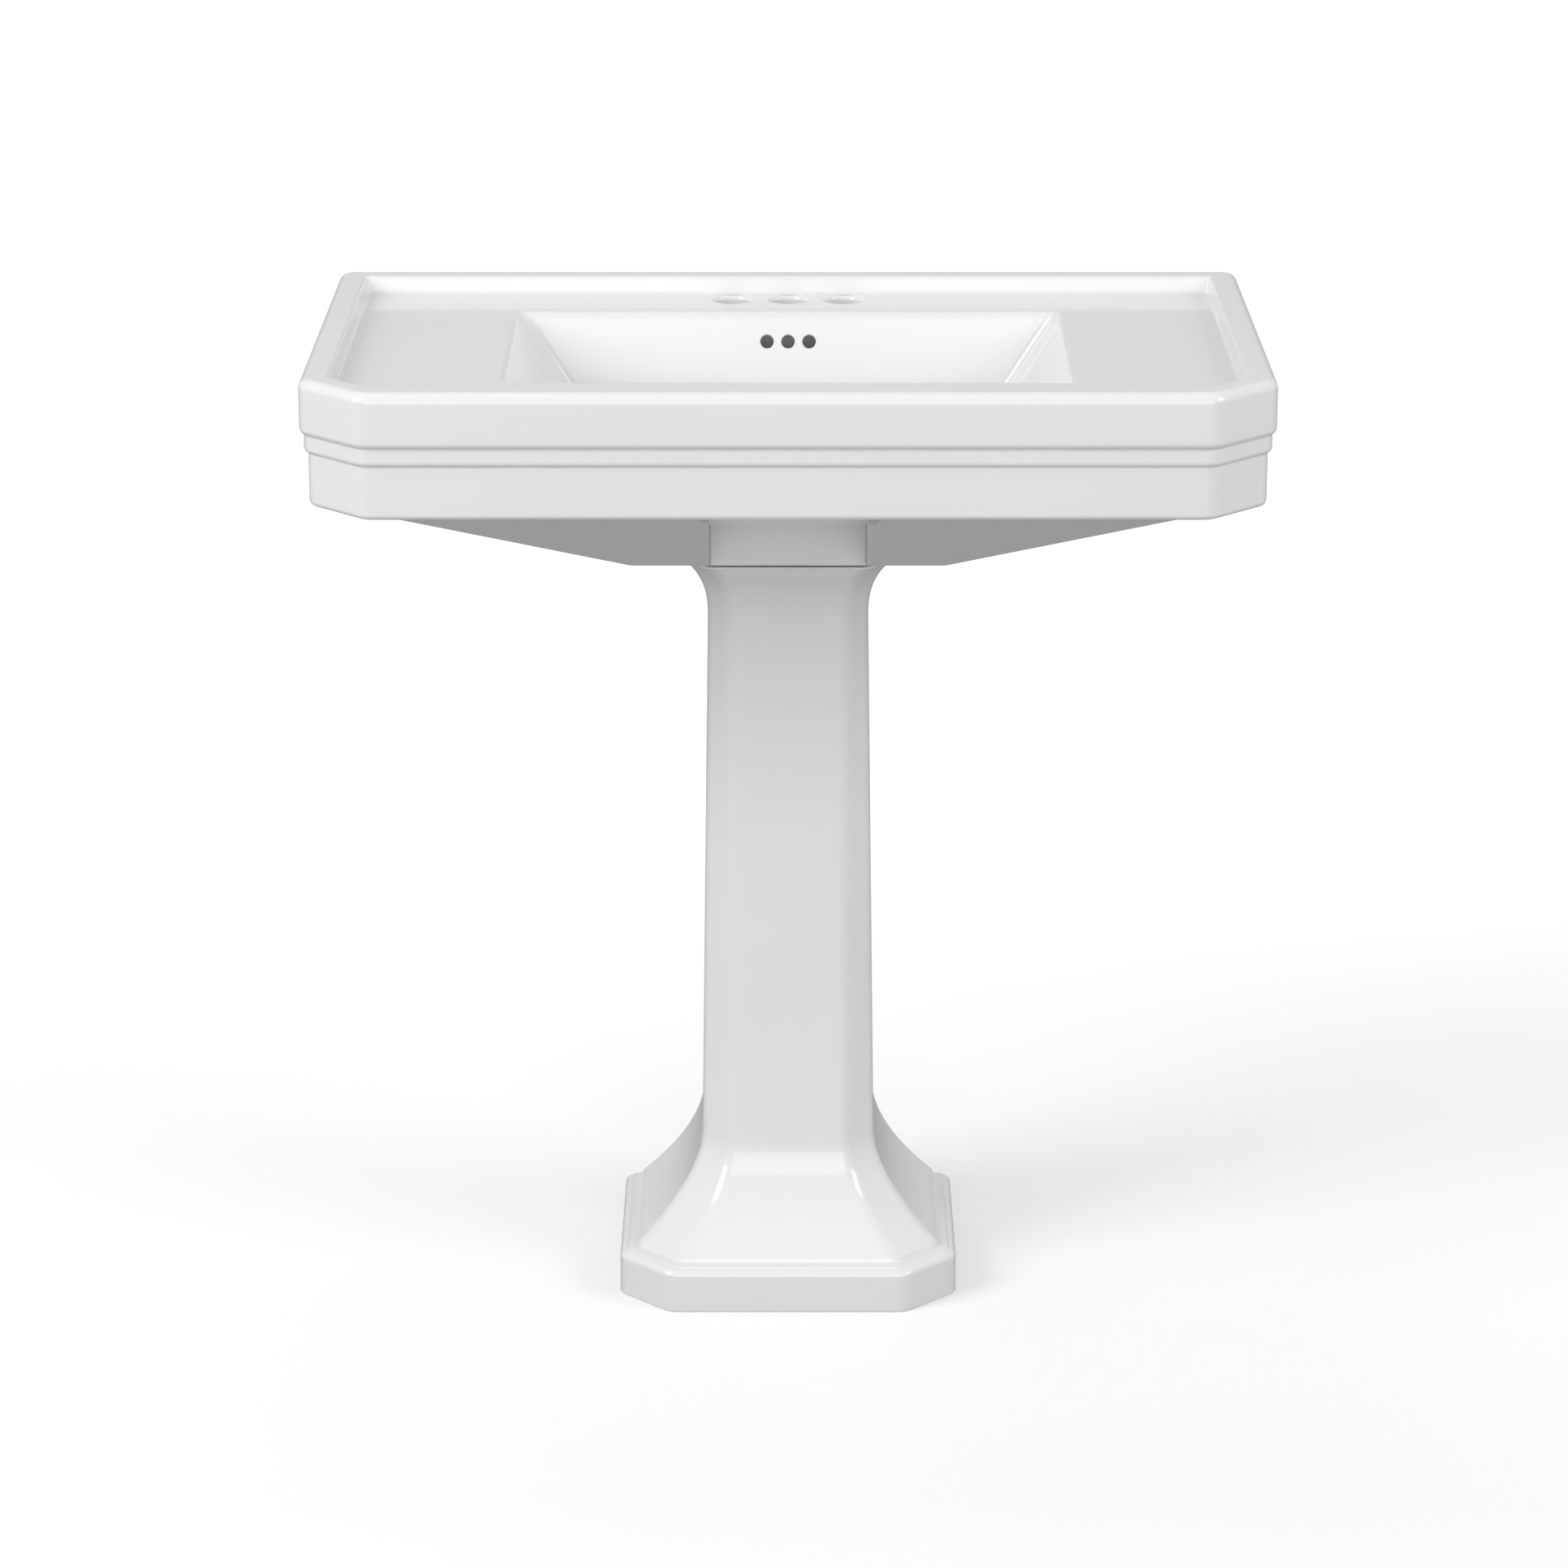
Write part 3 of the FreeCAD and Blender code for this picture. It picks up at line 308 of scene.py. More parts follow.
def rim_rings():
    """Flat rim, its moulded inner edge and the sunk deck."""
    rings = [apron_ring(RIM_ROUND + 3, RIM_Z, RIM_ROUND), apron_ring(RIM_WIDTH - 7, RIM_Z, RIM_WIDTH - 7)]
    moulding = arc(RIM_WIDTH - RIM_INNER_ROUND, RIM_Z - RIM_INNER_ROUND, RIM_INNER_ROUND, 90, 8, 7)
    moulding.append((RIM_WIDTH + 0.2, RIM_Z - 5.0))
    foot = RIM_WIDTH + STEP_RUN
    moulding += arc(foot, DECK_Z + DECK_COVE, DECK_COVE, 190, 270, 7)
    rings += [apron_ring(inset, z, inset) for inset, z in moulding]
    rings.append(apron_ring(foot + 6, DECK_Z, foot + 2))
    return rings


def wall_profile(run, stops):
    """(inward, down) points down one wall of the bowl: rounded lip, slope, rounded foot."""
    slope = math.atan2(BOWL_DEPTH, run)
    lip = BOWL_LIP_ROUND * math.tan(slope / 2)
    foot = BOWL_FOOT_ROUND * math.tan(slope / 2)
    points = []
    for step in range(ROUND_STEPS + 1):
        angle = slope * step / ROUND_STEPS
        points.append((BOWL_LIP_ROUND * math.sin(angle) - lip, BOWL_LIP_ROUND * (1 - math.cos(angle))))
    points += [(run * stop, BOWL_DEPTH * stop) for stop in stops]
    for step in range(ROUND_STEPS + 1):
        angle = slope * (1 - step / ROUND_STEPS)
        points.append((run + foot - BOWL_FOOT_ROUND * math.sin(angle),
                       BOWL_DEPTH - BOWL_FOOT_ROUND * (1 - math.cos(angle))))
    return points


def bowl_rings():
    """Rings down the bowl, each side on its own wall's slope."""
    stops = (0.2, 0.35, 0.5, 0.65, 0.78)
    walls = {side: wall_profile(run, stops) for side, run in BOWL_RUNS.items()}
    rings = []
    count = len(walls["side"])
    for k in range(count):
        inward = {side: profile[k][0] for side, profile in walls.items()}
        down = {side: profile[k][1] for side, profile in walls.items()}
        down["clip"] = (down["side"] + down["front"]) / 2
        share = k / (count - 1)
        corner = 9.0 + 4.0 * share
        clip = CLIP_PER_INSET * corner + 1.5
        plan = clipped_plan(BOWL_HALF - inward["side"], BOWL_FRONT_Y + inward["front"],
                            BOWL_BACK_Y - inward["back"], clip, corner, corner)
        ring = []
        for p, before, after, mix in plan:
            depth = down[PLAN_SIDES[before]] * (1 - mix) + down[PLAN_SIDES[after]] * mix
            ring.append((p.x, p.y, DECK_Z - depth))
        rings.append(ring)
    return rings


def circle_ring(guide, radius, z):
    """Ring of points round the drain, each in the direction of a guide point."""
    ring = []
    for x, y, _ in guide:
        reach = math.hypot(x, y - DRAIN_Y)
        ring.append((x / reach * radius, DRAIN_Y + (y - DRAIN_Y) / reach * radius, z))
    return ring


def basin_body():
    """Closed surface: drain hole, underside, apron, rim, deck, bowl and back to the drain hole."""
    bowl = bowl_rings()
    guide = bowl[-1]
    floor_z = DECK_Z - BOWL_DEPTH
    rings = [circle_ring(guide, DRAIN_RADIUS, SEAT_Z), circle_ring(guide, DRAIN_RADIUS + 8, SEAT_Z)]
    rings += underside_rings() + apron_rings() + rim_rings() + bowl
    dish_z = floor_z - DISH_DEPTH
    dish = [(DISH_RADIUS + 2, floor_z), (DISH_RADIUS, floor_z - 0.3), (DISH_RADIUS - 2, floor_z - 1.0),
            (FLANGE_RADIUS + 3, dish_z + 0.6), (FLANGE_RADIUS + 1, dish_z + 0.05),
            (DRAIN_RADIUS + 1.0, dish_z), (DRAIN_RADIUS, dish_z - 1.0)]
    rings += [circle_ring(guide, radius, z) for radius, z in dish]
    bm = bmesh.new()
    bridge_rings(bm, rings)
    return new_object("basin_china", bm)


def spun(name, profile, origin, axis, steps=64):
    """Closed solid of revolution; profile is (radius, along) from one end of the axis to the other."""
    turn = Vector((0, 0, 1)).rotation_difference(Vector(axis)).to_matrix()
    rings = []
    for radius, along in profile:
        ring = []
        for step in range(steps):
            angle = 2 * math.pi * step / steps
            point = turn @ Vector((radius * math.cos(angle), radius * math.sin(angle), along))
            ring.append(point + Vector(origin))
        rings.append(ring)
    return solid_from_rings(name, rings)


def lipped_cutter(name, radius, lip, origin, axis, depth):
    """Cutter for a hole with a rounded lip; its origin lies on the surface."""
    profile = [(radius, -depth)]
    for step in range(7):
        angle = math.radians(90 * step / 6)
        profile.append((radius + lip * (1 - math.cos(angle)), -lip + lip * math.sin(angle)))
    profile.append((radius + lip + 0.05, 0.04))
    return spun(name, profile, origin, axis)


def box_cutter(name, low, high):
    x0, y0, z0 = low
    x1, y1, z1 = high
    rings = [[(x0, y0, z), (x1, y0, z), (x1, y1, z), (x0, y1, z)] for z in (z0, z1)]
    return solid_from_rings(name, rings)


def cut_faucet_space(basin):
    """Open pocket under the rear deck."""
    half = HALF_WIDTH - 2 * BAND_STEP - CHINA
    plan = rounded_plan([(half, BACK_Y - CHINA), (-half, BACK_Y - CHINA), (-half, HOPPER_BACK_Y),
                         (half, HOPPER_BACK_Y)], [POCKET_ROUND] * 4, [0] * 4)
    rings = [level(plan, z) for z in (APRON_Z - PAST, DECK_Z - CHINA)]
    boolean(basin, solid_from_rings("pocket", rings))


def cut_faucet_holes(basin):
    for side in (-1, 0, 1):
        origin = (side * FAUCET_SPACING, FAUCET_Y, DECK_Z)
        boolean(basin, lipped_cutter("faucet_cutter", FAUCET_RADIUS, FAUCET_LIP, origin,
                                     (0, 0, 1), 3 * CHINA))


def cut_overflow(basin):
    """Passage behind the bowl and three round holes into it."""
    low = (-PASSAGE_HALF, BOWL_BACK_Y + PASSAGE_WALL, OVERFLOW_Z - PASSAGE_BELOW)
    high = (PASSAGE_HALF, HOPPER_BACK_Y - CHINA, OVERFLOW_Z + PASSAGE_ABOVE)
    boolean(basin, box_cutter("passage", low, high))
    slope = math.atan2(BOWL_DEPTH, BOWL_RUNS["back"])
    below = DECK_Z - OVERFLOW_Z
    surface_y = BOWL_BACK_Y - BOWL_RUNS["back"] * below / BOWL_DEPTH
    outwards = (0, -math.sin(slope), math.cos(slope))
    for side in (-1, 0, 1):
        origin = (side * OVERFLOW_SPACING, surface_y, OVERFLOW_Z)
        boolean(basin, lipped_cutter("overflow_cutter", OVERFLOW_RADIUS, OVERFLOW_LIP, origin,
                                     outwards, 1.5 * CHINA))


def cut_recess(basin):
    """Recess in the front of the underside, with a round-edged block at its back, clear of the bowl."""
    face_y = SEAT_FRONT_Y - BLOCK_PROUD
    mouth_y = FRONT_Y + 2 * BAND_STEP + CHINA
    mouth_half = RECESS_HALF - RECESS_TAPER
    edge = BLOCK_EDGE_ROUND
    plan = [(-mouth_half, mouth_y), (mouth_half, mouth_y), (RECESS_HALF, face_y + edge)]
    for step in range(1, ROUND_STEPS + 1):
        angle = math.radians(90 * step / ROUND_STEPS)
        plan.append((RECESS_HALF - edge + edge * math.cos(angle), face_y + edge - edge * math.sin(angle)))
    plan += [(-x, y) for x, y in plan[:1:-1]]
    rings = [[(x, y, z) for x, y in plan] for z in (SEAT_Z - PAST, APRON_Z - PAST)]
    cutter = solid_from_rings("recess", rings)
    shell_front = BOWL_FRONT_Y - BOWL_SHELL
    floor_front = shell_front + BOWL_RUNS["front"]
    shell_back = face_y + 60
    top, bottom = DECK_Z, DECK_Z - BOWL_DEPTH - BOWL_SHELL
    section = [(shell_front, top), (floor_front, bottom), (shell_back, bottom), (shell_back, top)]
    past_recess = RECESS_HALF + 30
    rings = [[(x, y, z) for y, z in section] for x in (-past_recess, past_recess)]
    boolean(cutter, solid_from_rings("bowl_shell", rings))
    boolean(basin, cutter)


def cut_wall_bolts(basin):
    for side in (-1, 1):
        origin = (side * WALL_BOLT_X, BACK_Y, WALL_BOLT_Z)
        boolean(basin, lipped_cutter("bolt_cutter", WALL_BOLT_RADIUS, BOLT_LIP, origin,
                                     (0, 1, 0), WALL_BOLT_DEPTH))


def make_basin(material):
    basin = basin_body()
    cut_recess(basin)
    cut_faucet_space(basin)
    cut_faucet_holes(basin)
    cut_overflow(basin)
    cut_wall_bolts(basin)
    smooth_with_creases(basin, 32)
    basin.data.materials.clear()
    basin.data.materials.append(material)
    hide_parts("basin")
    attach(basin, "sink")


# ------------------------------------------------------------------ pedestal
PEDESTAL_TOP = PEDESTAL_HIGH.z
PEDESTAL_BACK_Y = PEDESTAL_HIGH.y
NECK_Z = PEDESTAL_TOP - 59.0
FLARE_Z = 138.0
NECK_HALF, FOOT_HALF = 71.7, 78.5
NECK_FRONT, FOOT_FRONT = -17.0, -24.5
NECK_CLIP, FOOT_CLIP = 21.0, 26.0
NECK_FLARE, NECK_CURVE = 19.0, 2.6
FOOT_FLARE, FOOT_CURVE = 57.0, 1.95
FOOT_CLIP_GROWTH, NECK_CLIP_GROWTH = 0.2, 0.1
FOOT_STEPS, COLUMN_STEPS, NECK_STEPS = 22, 14, 20
TOP_EDGE = 2.0
PLINTH_LEDGE = 18.0
PLINTH_Z = 40.0
PLINTH_CLIP = 46.0
PLINTH_EDGE_ROUND = 6.5
PLINTH_EDGE_STEPS = 7
LEDGE_RISE = 5.5
RISER_PROFILE = ((9.0, -4.1), (5.0, -3.9), (2.4, -3.6), (0.8, -2.8), (0.3, -1.4))   # outwards, up
LUG_LENGTH, LUG_HEIGHT, LUG_ROOT = 44.0, 14.0, 2.0
FLOOR_BOLT_Y = PEDESTAL_BACK_Y - 77.0
FLOOR_BOLT_RADIUS = 5.0
COLUMN_ROUND = 18.0
PLINTH_ROUND = 20.0
INNER_TIGHTEN, INNER_ROUND_MIN, INNER_CLIP_MIN = 5.0, 4.0, 8.0
EDGE_BEVEL = 1.6
COLUMN_CUTS = (10, 2, 9, 2, 10)   # points along the side, clip, front, clip and side


def column_values(z):
    """Half width, front and clip of the plain column."""
    share = (NECK_Z - z) / (NECK_Z - FLARE_Z)
    return tuple(a + (b - a) * share for a, b in
                 ((NECK_HALF, FOOT_HALF), (NECK_FRONT, FOOT_FRONT), (NECK_CLIP, FOOT_CLIP)))


def u_plan(half, front, clip, rounding, back):
    """Open outline from the back right corner round the front to the back left."""
    corners = [(half, back), (half, front + clip), (half - clip, front), (-half + clip, front),
               (-half, front + clip), (-half, back)]
    corners = [Vector(corner) for corner in corners]
    stretches = [[corners[0]]]
    for before, here, after in zip(corners, corners[1:], corners[2:]):
        stretches.append(corner_arc(before, here, after, rounding))
    stretches.append([corners[-1]])
    points = []
    for stretch, after, count in zip(stretches, stretches[1:], COLUMN_CUTS):
        points += stretch + points_between(stretch[-1], after[0], count)
    return points + stretches[-1]


def flared_station(z, offset, clip_growth):
    """One outer station of the column, pushed outwards: z, half width, front, clip, corner rounding."""
    half, front, clip = column_values(z)
    return (z, half + offset, front - offset, clip + clip_growth * offset, COLUMN_ROUND)


def plinth_stations():
    """Upright sides of the plinth and its rounded top edge."""
    half = FOOT_HALF + FOOT_FLARE + PLINTH_LEDGE
    front = FOOT_FRONT - FOOT_FLARE - PLINTH_LEDGE
    profile = [(0.0, 1.0), (1.0, 0.0), (PLINTH_Z - 16, 0.0)]
    for step in range(PLINTH_EDGE_STEPS + 1):
        angle = math.radians(90 * step / PLINTH_EDGE_STEPS)
        profile.append((PLINTH_Z - PLINTH_EDGE_ROUND * (1 - math.sin(angle)),
                        PLINTH_EDGE_ROUND * (1 - math.cos(angle))))
    return [(z, half - inset, front + inset, PLINTH_CLIP - inset * CLIP_PER_INSET, PLINTH_ROUND)
            for z, inset in profile]


def foot_stations():
    """Small riser on the ledge, then the hollow flare up to the column."""
    foot = []
    for step in range(FOOT_STEPS, -1, -1):
        share = step / FOOT_STEPS
        z = FLARE_Z - (FLARE_Z - PLINTH_Z - LEDGE_RISE) * share
        foot.append(flared_station(z, FOOT_FLARE * share ** FOOT_CURVE, FOOT_CLIP_GROWTH))
    z, half, front, clip, rounding = foot[0]
    riser = [(z + rise, half + out, front - out, clip + out * CLIP_PER_INSET, rounding)
             for out, rise in RISER_PROFILE]
    return riser + foot


def neck_stations():
    """Flare under the basin and the softened top edge."""
    stations = []
    for step in range(NECK_STEPS + 1):
        share = step / NECK_STEPS
        z = NECK_Z + (PEDESTAL_TOP - TOP_EDGE - NECK_Z) * share
        stations.append(flared_station(z, NECK_FLARE * share ** NECK_CURVE, NECK_CLIP_GROWTH))
    z, half, front, clip, rounding = stations[-1]
    stations.append((z + 1.3, half + 0.1, front - 0.1, clip, rounding))
    stations.append((PEDESTAL_TOP, half - 0.6, front + 0.6, clip, rounding))
    return stations


def pedestal_stations():
    """Outer stations from the floor to the top of the pedestal."""
    column = [flared_station(FLARE_Z + (NECK_Z - FLARE_Z) * step / COLUMN_STEPS, 0.0, 0.0)
              for step in range(1, COLUMN_STEPS)]
    return plinth_stations() + foot_stations() + column + neck_stations()


def add_floor_lugs(pedestal):
    """Inner lugs of the foot with the holes for the floor bolts."""
    x = PEDESTAL_HIGH.x - CHINA - LUG_LENGTH / 2
    reach = LUG_LENGTH / 2 + LUG_ROOT
    for side in (-1, 1):
        low = (side * x - reach, FLOOR_BOLT_Y - reach, 0.0)
        high = (side * x + reach, FLOOR_BOLT_Y + reach, LUG_HEIGHT)
        boolean(pedestal, box_cutter("lug", low, high), "UNION")
        top = (side * x, FLOOR_BOLT_Y, LUG_HEIGHT)
        boolean(pedestal, lipped_cutter("bolt_cutter", FLOOR_BOLT_RADIUS, BOLT_LIP, top,
                                        (0, 0, 1), 2 * LUG_HEIGHT))


def pedestal_shell():
    """Wall of even thickness, open at the back, with softened edges."""
    bm = bmesh.new()
    rings = []
    for z, half, front, clip, rounding in pedestal_stations():
        outer = u_plan(half, front, clip, rounding, PEDESTAL_BACK_Y)
        inner = u_plan(half - CHINA, front + CHINA, max(clip - CHINA * CLIP_PER_INSET, INNER_CLIP_MIN),
                       max(rounding - INNER_TIGHTEN, INNER_ROUND_MIN), PEDESTAL_BACK_Y)
        rings.append([(p.x, p.y, z) for p in outer + inner[::-1]])
    made = bridge_rings(bm, rings, closed=False)
    half_count = len(made[0]) // 2
    for ring in (made[0], made[-1]):
        for k in range(half_count - 1):
            bm.faces.new((ring[k], ring[k + 1], ring[-k - 2], ring[-k - 1]))
    pedestal = new_object("pedestal_china", bm)
    bevel = pedestal.modifiers.new("edges", "BEVEL")
    bevel.width = EDGE_BEVEL * MM
    bevel.segments = 2
    bevel.limit_method = "ANGLE"
    bevel.angle_limit = math.radians(50)
    dg = bpy.context.evaluated_depsgraph_get()
    pedestal.data = bpy.data.meshes.new_from_object(pedestal.evaluated_get(dg))
    pedestal.modifiers.clear()
    return pedestal


def make_pedestal(material):
    pedestal = pedestal_shell()
    add_floor_lugs(pedestal)
    smooth_with_creases(pedestal, 40)
    pedestal.data.materials.append(material)
    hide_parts("pedestal")
    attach(pedestal, "sink")


# ------------------------------------------------------------------ spring
SPRING_LOW, SPRING_HIGH = (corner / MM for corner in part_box("stopper_spring"))
SPRING_WIRE = 0.9
SPRING_TURNS = 7
STEPS_PER_TURN = 36
WIRE_SIDES = 10


def make_spring(material):
    """Coil of the stopper's return spring, built at one length from its CAD part's size."""
    wire = SPRING_WIRE / 2
    radius = (SPRING_HIGH.x - SPRING_LOW.x) / 2 - wire
    length = SPRING_HIGH.z - SPRING_LOW.z - SPRING_WIRE
    count = SPRING_TURNS * STEPS_PER_TURN
    rings = []
    for step in range(count + 1):
        angle = 2 * math.pi * step / STEPS_PER_TURN
        out = Vector((math.cos(angle), math.sin(angle), 0))
        centre = Vector((0, DRAIN_Y, SPRING_LOW.z + wire + length * step / count)) + out * radius
        ring = []
        for side in range(WIRE_SIDES):
            turn = 2 * math.pi * side / WIRE_SIDES
            ring.append(centre + out * (wire * math.cos(turn)) + Vector((0, 0, wire * math.sin(turn))))
        rings.append(ring)
    spring = solid_from_rings("return_spring", rings)
    smooth_with_creases(spring, 60)
    spring.modifiers.clear()
    spring.data.materials.append(material)
    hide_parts("stopper_spring")
    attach(spring, "sink")
    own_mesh(spring)


# ------------------------------------------------------------------ materials
def node_material(name, metallic=0.0, ior=1.5, coat=0.0):
    material = bpy.data.materials.new(name)
    material.use_nodes = True
    shader = material.node_tree.nodes["Principled BSDF"]
    shader.inputs["Metallic"].default_value = metallic
    shader.inputs["IOR"].default_value = ior
    shader.inputs["Coat Weight"].default_value = coat
    return material, material.node_tree, shader


def noise(tree, scale, detail=2.0, stretch=(1, 1, 1)):
    """Noise in object coordinates."""
    place = tree.nodes.new("ShaderNodeTexCoord")
    mapping = tree.nodes.new("ShaderNodeMapping")
    mapping.inputs["Scale"].default_value = stretch
    texture = tree.nodes.new("ShaderNodeTexNoise")
    texture.inputs["Scale"].default_value = scale
    texture.inputs["Detail"].default_value = detail
    tree.links.new(place.outputs["Object"], mapping.inputs["Vector"])
    tree.links.new(mapping.outputs["Vector"], texture.inputs["Vector"])
    return texture


def colour_between(tree, shader, texture, dark, light):
    ramp = tree.nodes.new("ShaderNodeValToRGB")
    ramp.color_ramp.elements[0].position = 0.3
    ramp.color_ramp.elements[1].position = 0.7
    ramp.color_ramp.elements[0].color = (*dark, 1)
    ramp.color_ramp.elements[1].color = (*light, 1)
    tree.links.new(texture.outputs["Fac"], ramp.inputs["Fac"])
    tree.links.new(ramp.outputs["Color"], shader.inputs["Base Color"])


def roughness_between(tree, shader, texture, low, high):
    spread = tree.nodes.new("ShaderNodeMapRange")
    spread.inputs["To Min"].default_value = low
    spread.inputs["To Max"].default_value = high
    tree.links.new(texture.outputs["Fac"], spread.inputs["Value"])
    tree.links.new(spread.outputs["Result"], shader.inputs["Roughness"])


def bump_from(tree, shader, texture, distance, strength=1.0):
    bump = tree.nodes.new("ShaderNodeBump")
    bump.inputs["Strength"].default_value = strength
    bump.inputs["Distance"].default_value = distance
    tree.links.new(texture.outputs["Fac"], bump.inputs["Height"])
    tree.links.new(bump.outputs["Normal"], shader.inputs["Normal"])


def china_material():
    """White glaze: very even, glossy, with the faint waviness of a fired surface."""
    material, tree, shader = node_material("vitreous_china", ior=1.52, coat=0.35)
    shader.inputs["Coat Roughness"].default_value = 0.03
    colour_between(tree, shader, noise(tree, 5.0, 3.0), (0.832, 0.832, 0.826), (0.850, 0.850, 0.846))
    roughness_between(tree, shader, noise(tree, 9.0), 0.14, 0.20)
    bump_from(tree, shader, noise(tree, 45.0, 1.0), 0.00002, 0.15)
    return material


def chrome_material():
    material, tree, shader = node_material("polished_chrome", metallic=1.0)
    colour_between(tree, shader, noise(tree, 20.0), (0.76, 0.77, 0.79), (0.84, 0.85, 0.86))
    roughness_between(tree, shader, noise(tree, 60.0, 4.0), 0.05, 0.13)
    bump_from(tree, shader, noise(tree, 300.0), 0.00001, 0.3)
    return material


def brass_material():
    material, tree, shader = node_material("bare_brass", metallic=1.0)
    colour_between(tree, shader, noise(tree, 40.0, 5.0), (0.62, 0.45, 0.19), (0.80, 0.63, 0.31))
    roughness_between(tree, shader, noise(tree, 90.0, 4.0, (1, 1, 8)), 0.22, 0.42)
    bump_from(tree, shader, noise(tree, 500.0, 2.0, (1, 1, 10)), 0.00003, 0.5)
    return material


def rubber_material():
    material, tree, shader = node_material("black_rubber")
    colour_between(tree, shader, noise(tree, 120.0, 4.0), (0.018, 0.018, 0.019), (0.045, 0.045, 0.046))
    roughness_between(tree, shader, noise(tree, 200.0, 3.0), 0.55, 0.8)
    bump_from(tree, shader, noise(tree, 900.0, 3.0), 0.00008, 0.6)
    return material


def plastic_material():
    material, tree, shader = node_material("white_plastic")
    colour_between(tree, shader, noise(tree, 60.0, 3.0), (0.74, 0.74, 0.71), (0.82, 0.82, 0.80))
    roughness_between(tree, shader, noise(tree, 150.0, 3.0), 0.38, 0.55)
    bump_from(tree, shader, noise(tree, 700.0, 2.0), 0.00004, 0.5)
    return material


def steel_material():
    material, tree, shader = node_material("spring_steel", metallic=1.0)
    colour_between(tree, shader, noise(tree, 300.0, 3.0), (0.48, 0.48, 0.49), (0.66, 0.66, 0.67))
    roughness_between(tree, shader, noise(tree, 400.0, 3.0), 0.2, 0.35)
    bump_from(tree, shader, noise(tree, 900.0), 0.00002, 0.5)
    return material


def finish_cad_nodes(materials):
    """Each CAD node that stays gets the material of its slot."""
    for part in frame["record"]["subparts"]:
        obj = frame["nodes"][part["node"]]
        obj.data.materials.clear()
        obj.data.materials.append(materials[part["material_slot"]])


# ------------------------------------------------------------------ stage, metres
FLOOR_REACH = 30.0
CAMERA_PLACE = (0.0, -4.4588, 1.8693)
CAMERA_DOWN_DEG = 17.403
CAMERA_LENS = 119.25
CAMERA_SENSOR = 36.0
CAMERA_SHIFT = -0.002588
LIGHTS = (                    # name, place, target, size, watts
    ("key", (-3.1, -1.8, 2.7), (0, 0, 0.6), (1.8, 2.4), 72),
    ("front", (0.3, -5.2, 1.3), (0, 0, 0.7), (5.0, 2.6), 70),
    ("side", (3.3, -1.4, 2.6), (0, 0, 0.6), (1.8, 1.8), 36),
)


def make_floor():
    """Pale floor with a painted glow: its emission brightens it away from the camera."""
    mesh = bpy.data.meshes.new("floor")
    reach = FLOOR_REACH
    mesh.from_pydata([(-reach, -reach, 0), (reach, -reach, 0), (reach, reach, 0), (-reach, reach, 0)],
                     [], [(0, 1, 2, 3)])
    floor = bpy.data.objects.new("floor", mesh)
    bpy.context.scene.collection.objects.link(floor)
    material, tree, shader = node_material("pale_floor")
    shader.inputs["Specular IOR Level"].default_value = 0.0
    # Painted light: the floor glows, faintly near the sink so its shadow shows and strongly further back
    # so it reads white.
    shader.inputs["Emission Color"].default_value = (1, 1, 1, 1)
    place = tree.nodes.new("ShaderNodeTexCoord")
    split = tree.nodes.new("ShaderNodeSeparateXYZ")
    painted_floor_glow = tree.nodes.new("ShaderNodeMapRange")
    painted_floor_glow.inputs["From Min"].default_value = -0.5
    painted_floor_glow.inputs["From Max"].default_value = 3.0
    painted_floor_glow.inputs["To Min"].default_value = 0.06
    painted_floor_glow.inputs["To Max"].default_value = 0.50
    tree.links.new(place.outputs["Object"], split.inputs["Vector"])
    tree.links.new(split.outputs["Y"], painted_floor_glow.inputs["Value"])
    tree.links.new(painted_floor_glow.outputs["Result"], shader.inputs["Emission Strength"])
    colour_between(tree, shader, noise(tree, 2.0), (0.93, 0.93, 0.93), (0.94, 0.94, 0.94))
    roughness_between(tree, shader, noise(tree, 5.0), 0.9, 1.0)
    mesh.materials.append(material)
    floor.visible_diffuse = False
    floor.visible_glossy = False


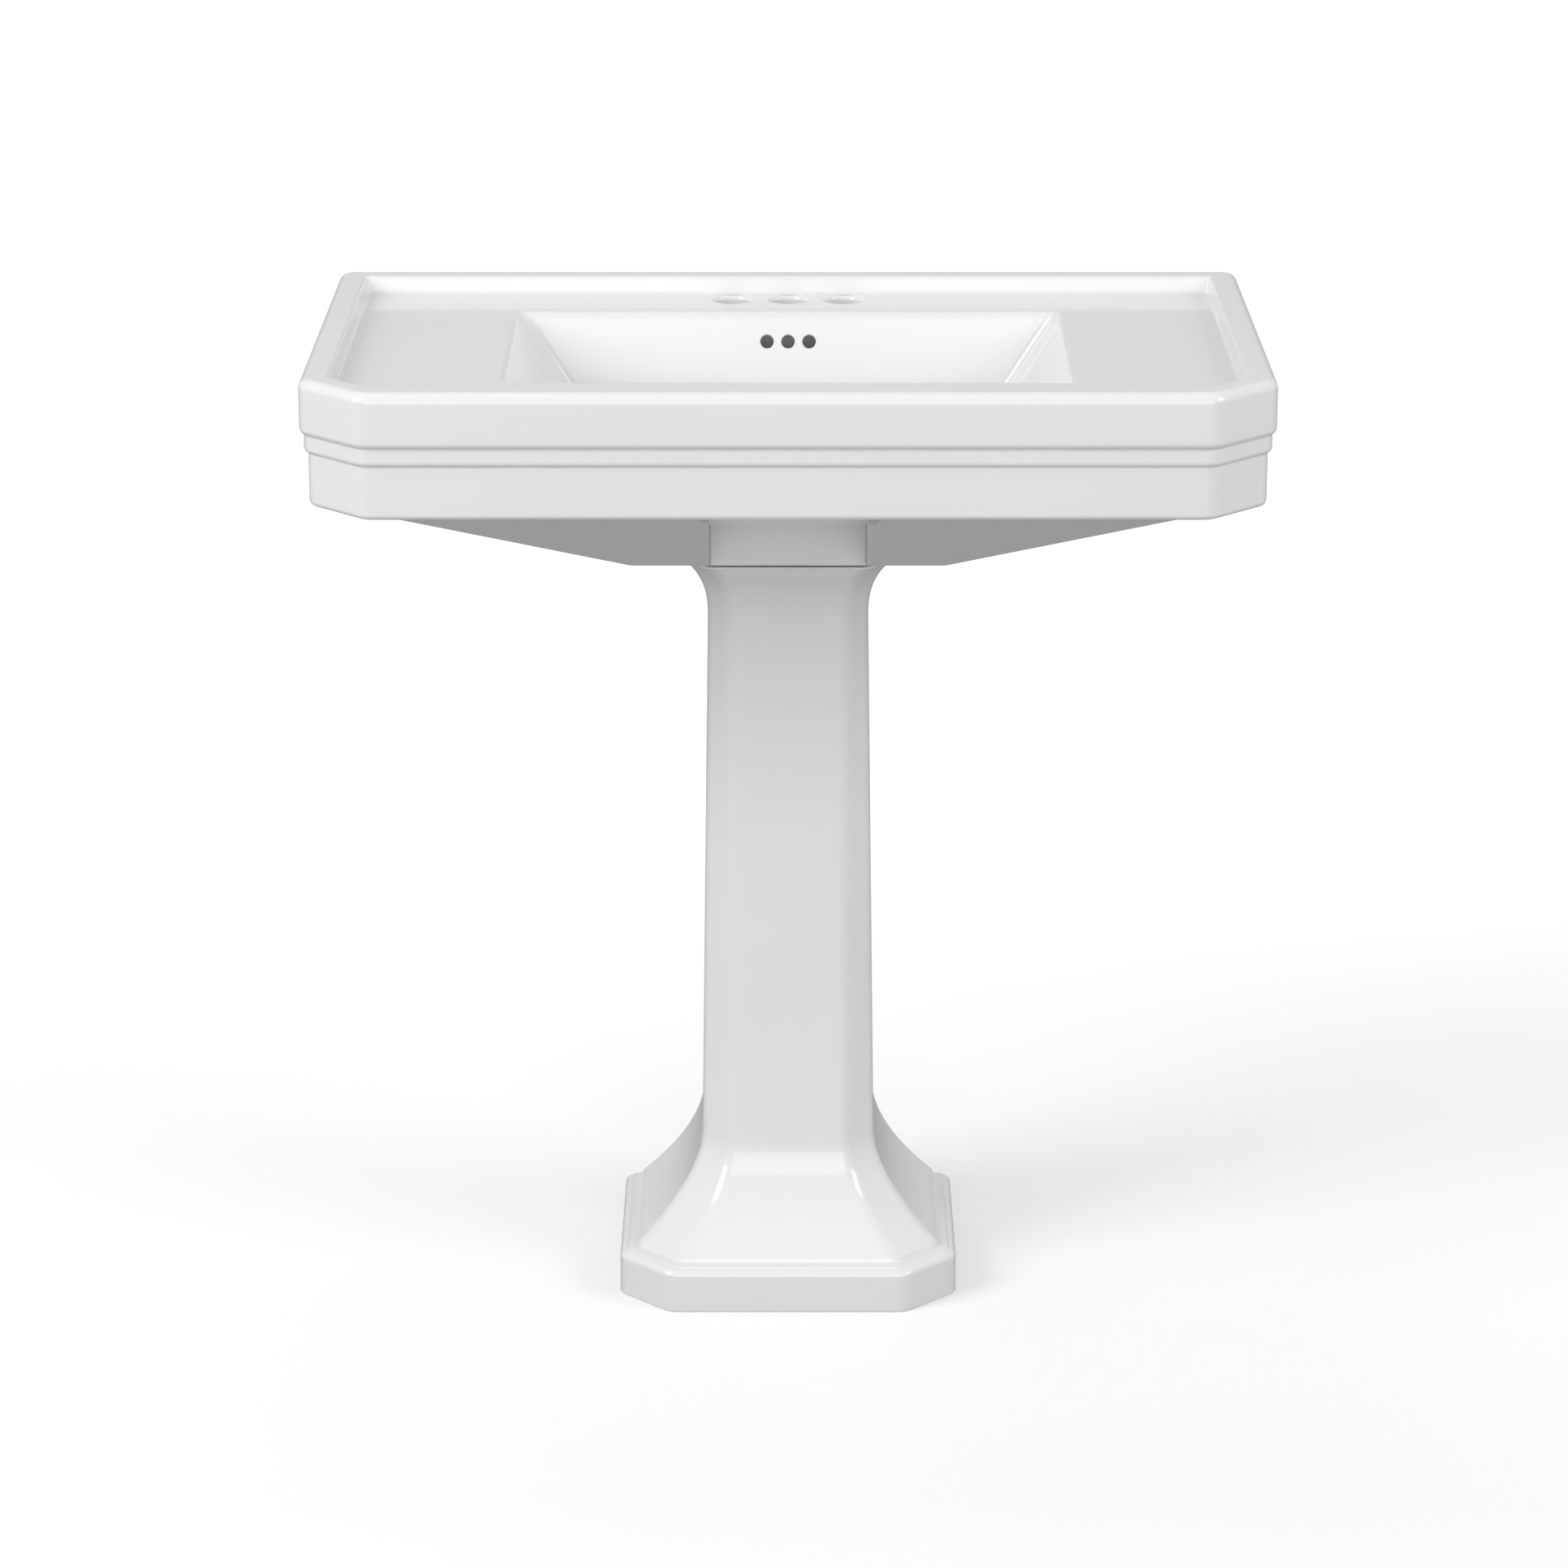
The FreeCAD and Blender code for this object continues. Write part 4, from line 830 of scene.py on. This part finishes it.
def make_world():
    """Even pale surround, dimmer below the horizon."""
    world = bpy.data.worlds.new("studio")
    world.use_nodes = True
    bpy.context.scene.world = world
    tree = world.node_tree
    background = tree.nodes["Background"]
    place = tree.nodes.new("ShaderNodeTexCoord")
    split = tree.nodes.new("ShaderNodeSeparateXYZ")
    ramp = tree.nodes.new("ShaderNodeValToRGB")
    spread = tree.nodes.new("ShaderNodeMapRange")
    spread.inputs["From Min"].default_value = -1.0
    spread.inputs["From Max"].default_value = 1.0
    ramp.color_ramp.elements[0].position = 0.40
    ramp.color_ramp.elements[0].color = (0.29, 0.29, 0.29, 1)
    ramp.color_ramp.elements[1].position = 0.56
    ramp.color_ramp.elements[1].color = (0.60, 0.60, 0.60, 1)
    tree.links.new(place.outputs["Generated"], split.inputs["Vector"])
    tree.links.new(split.outputs["Z"], spread.inputs["Value"])
    tree.links.new(spread.outputs["Result"], ramp.inputs["Fac"])
    tree.links.new(ramp.outputs["Color"], background.inputs["Color"])
    background.inputs["Strength"].default_value = 1.0


def soft_light(name, place, target, size, power):
    data = bpy.data.lights.new(name, "AREA")
    data.shape = "RECTANGLE"
    data.size, data.size_y = size
    data.energy = power
    light = bpy.data.objects.new(name, data)
    light.location = place
    light.rotation_euler = (Vector(target) - Vector(place)).to_track_quat("-Z", "Y").to_euler()
    bpy.context.scene.collection.objects.link(light)


def make_camera():
    data = bpy.data.cameras.new("camera")
    data.sensor_width = CAMERA_SENSOR
    data.lens = CAMERA_LENS
    data.shift_x = CAMERA_SHIFT
    data.clip_start = 0.1
    data.clip_end = 200.0
    camera = bpy.data.objects.new("camera", data)
    camera.location = CAMERA_PLACE
    camera.rotation_euler = (math.radians(90 - CAMERA_DOWN_DEG), 0, 0)
    bpy.context.scene.collection.objects.link(camera)
    bpy.context.scene.camera = camera


def main():
    scene = bpy.context.scene
    scene.view_settings.view_transform = "Standard"
    make_camera()
    make_world()
    for light in LIGHTS:
        soft_light(*light)
    make_floor()
    materials = {"vitreous_china": china_material(), "polished_chrome": chrome_material(),
                 "bare_brass": brass_material(), "black_rubber": rubber_material(),
                 "white_plastic": plastic_material(), "spring_steel": steel_material()}
    finish_cad_nodes(materials)
    make_basin(materials["vitreous_china"])
    make_pedestal(materials["vitreous_china"])
    make_spring(materials["spring_steel"])


main()
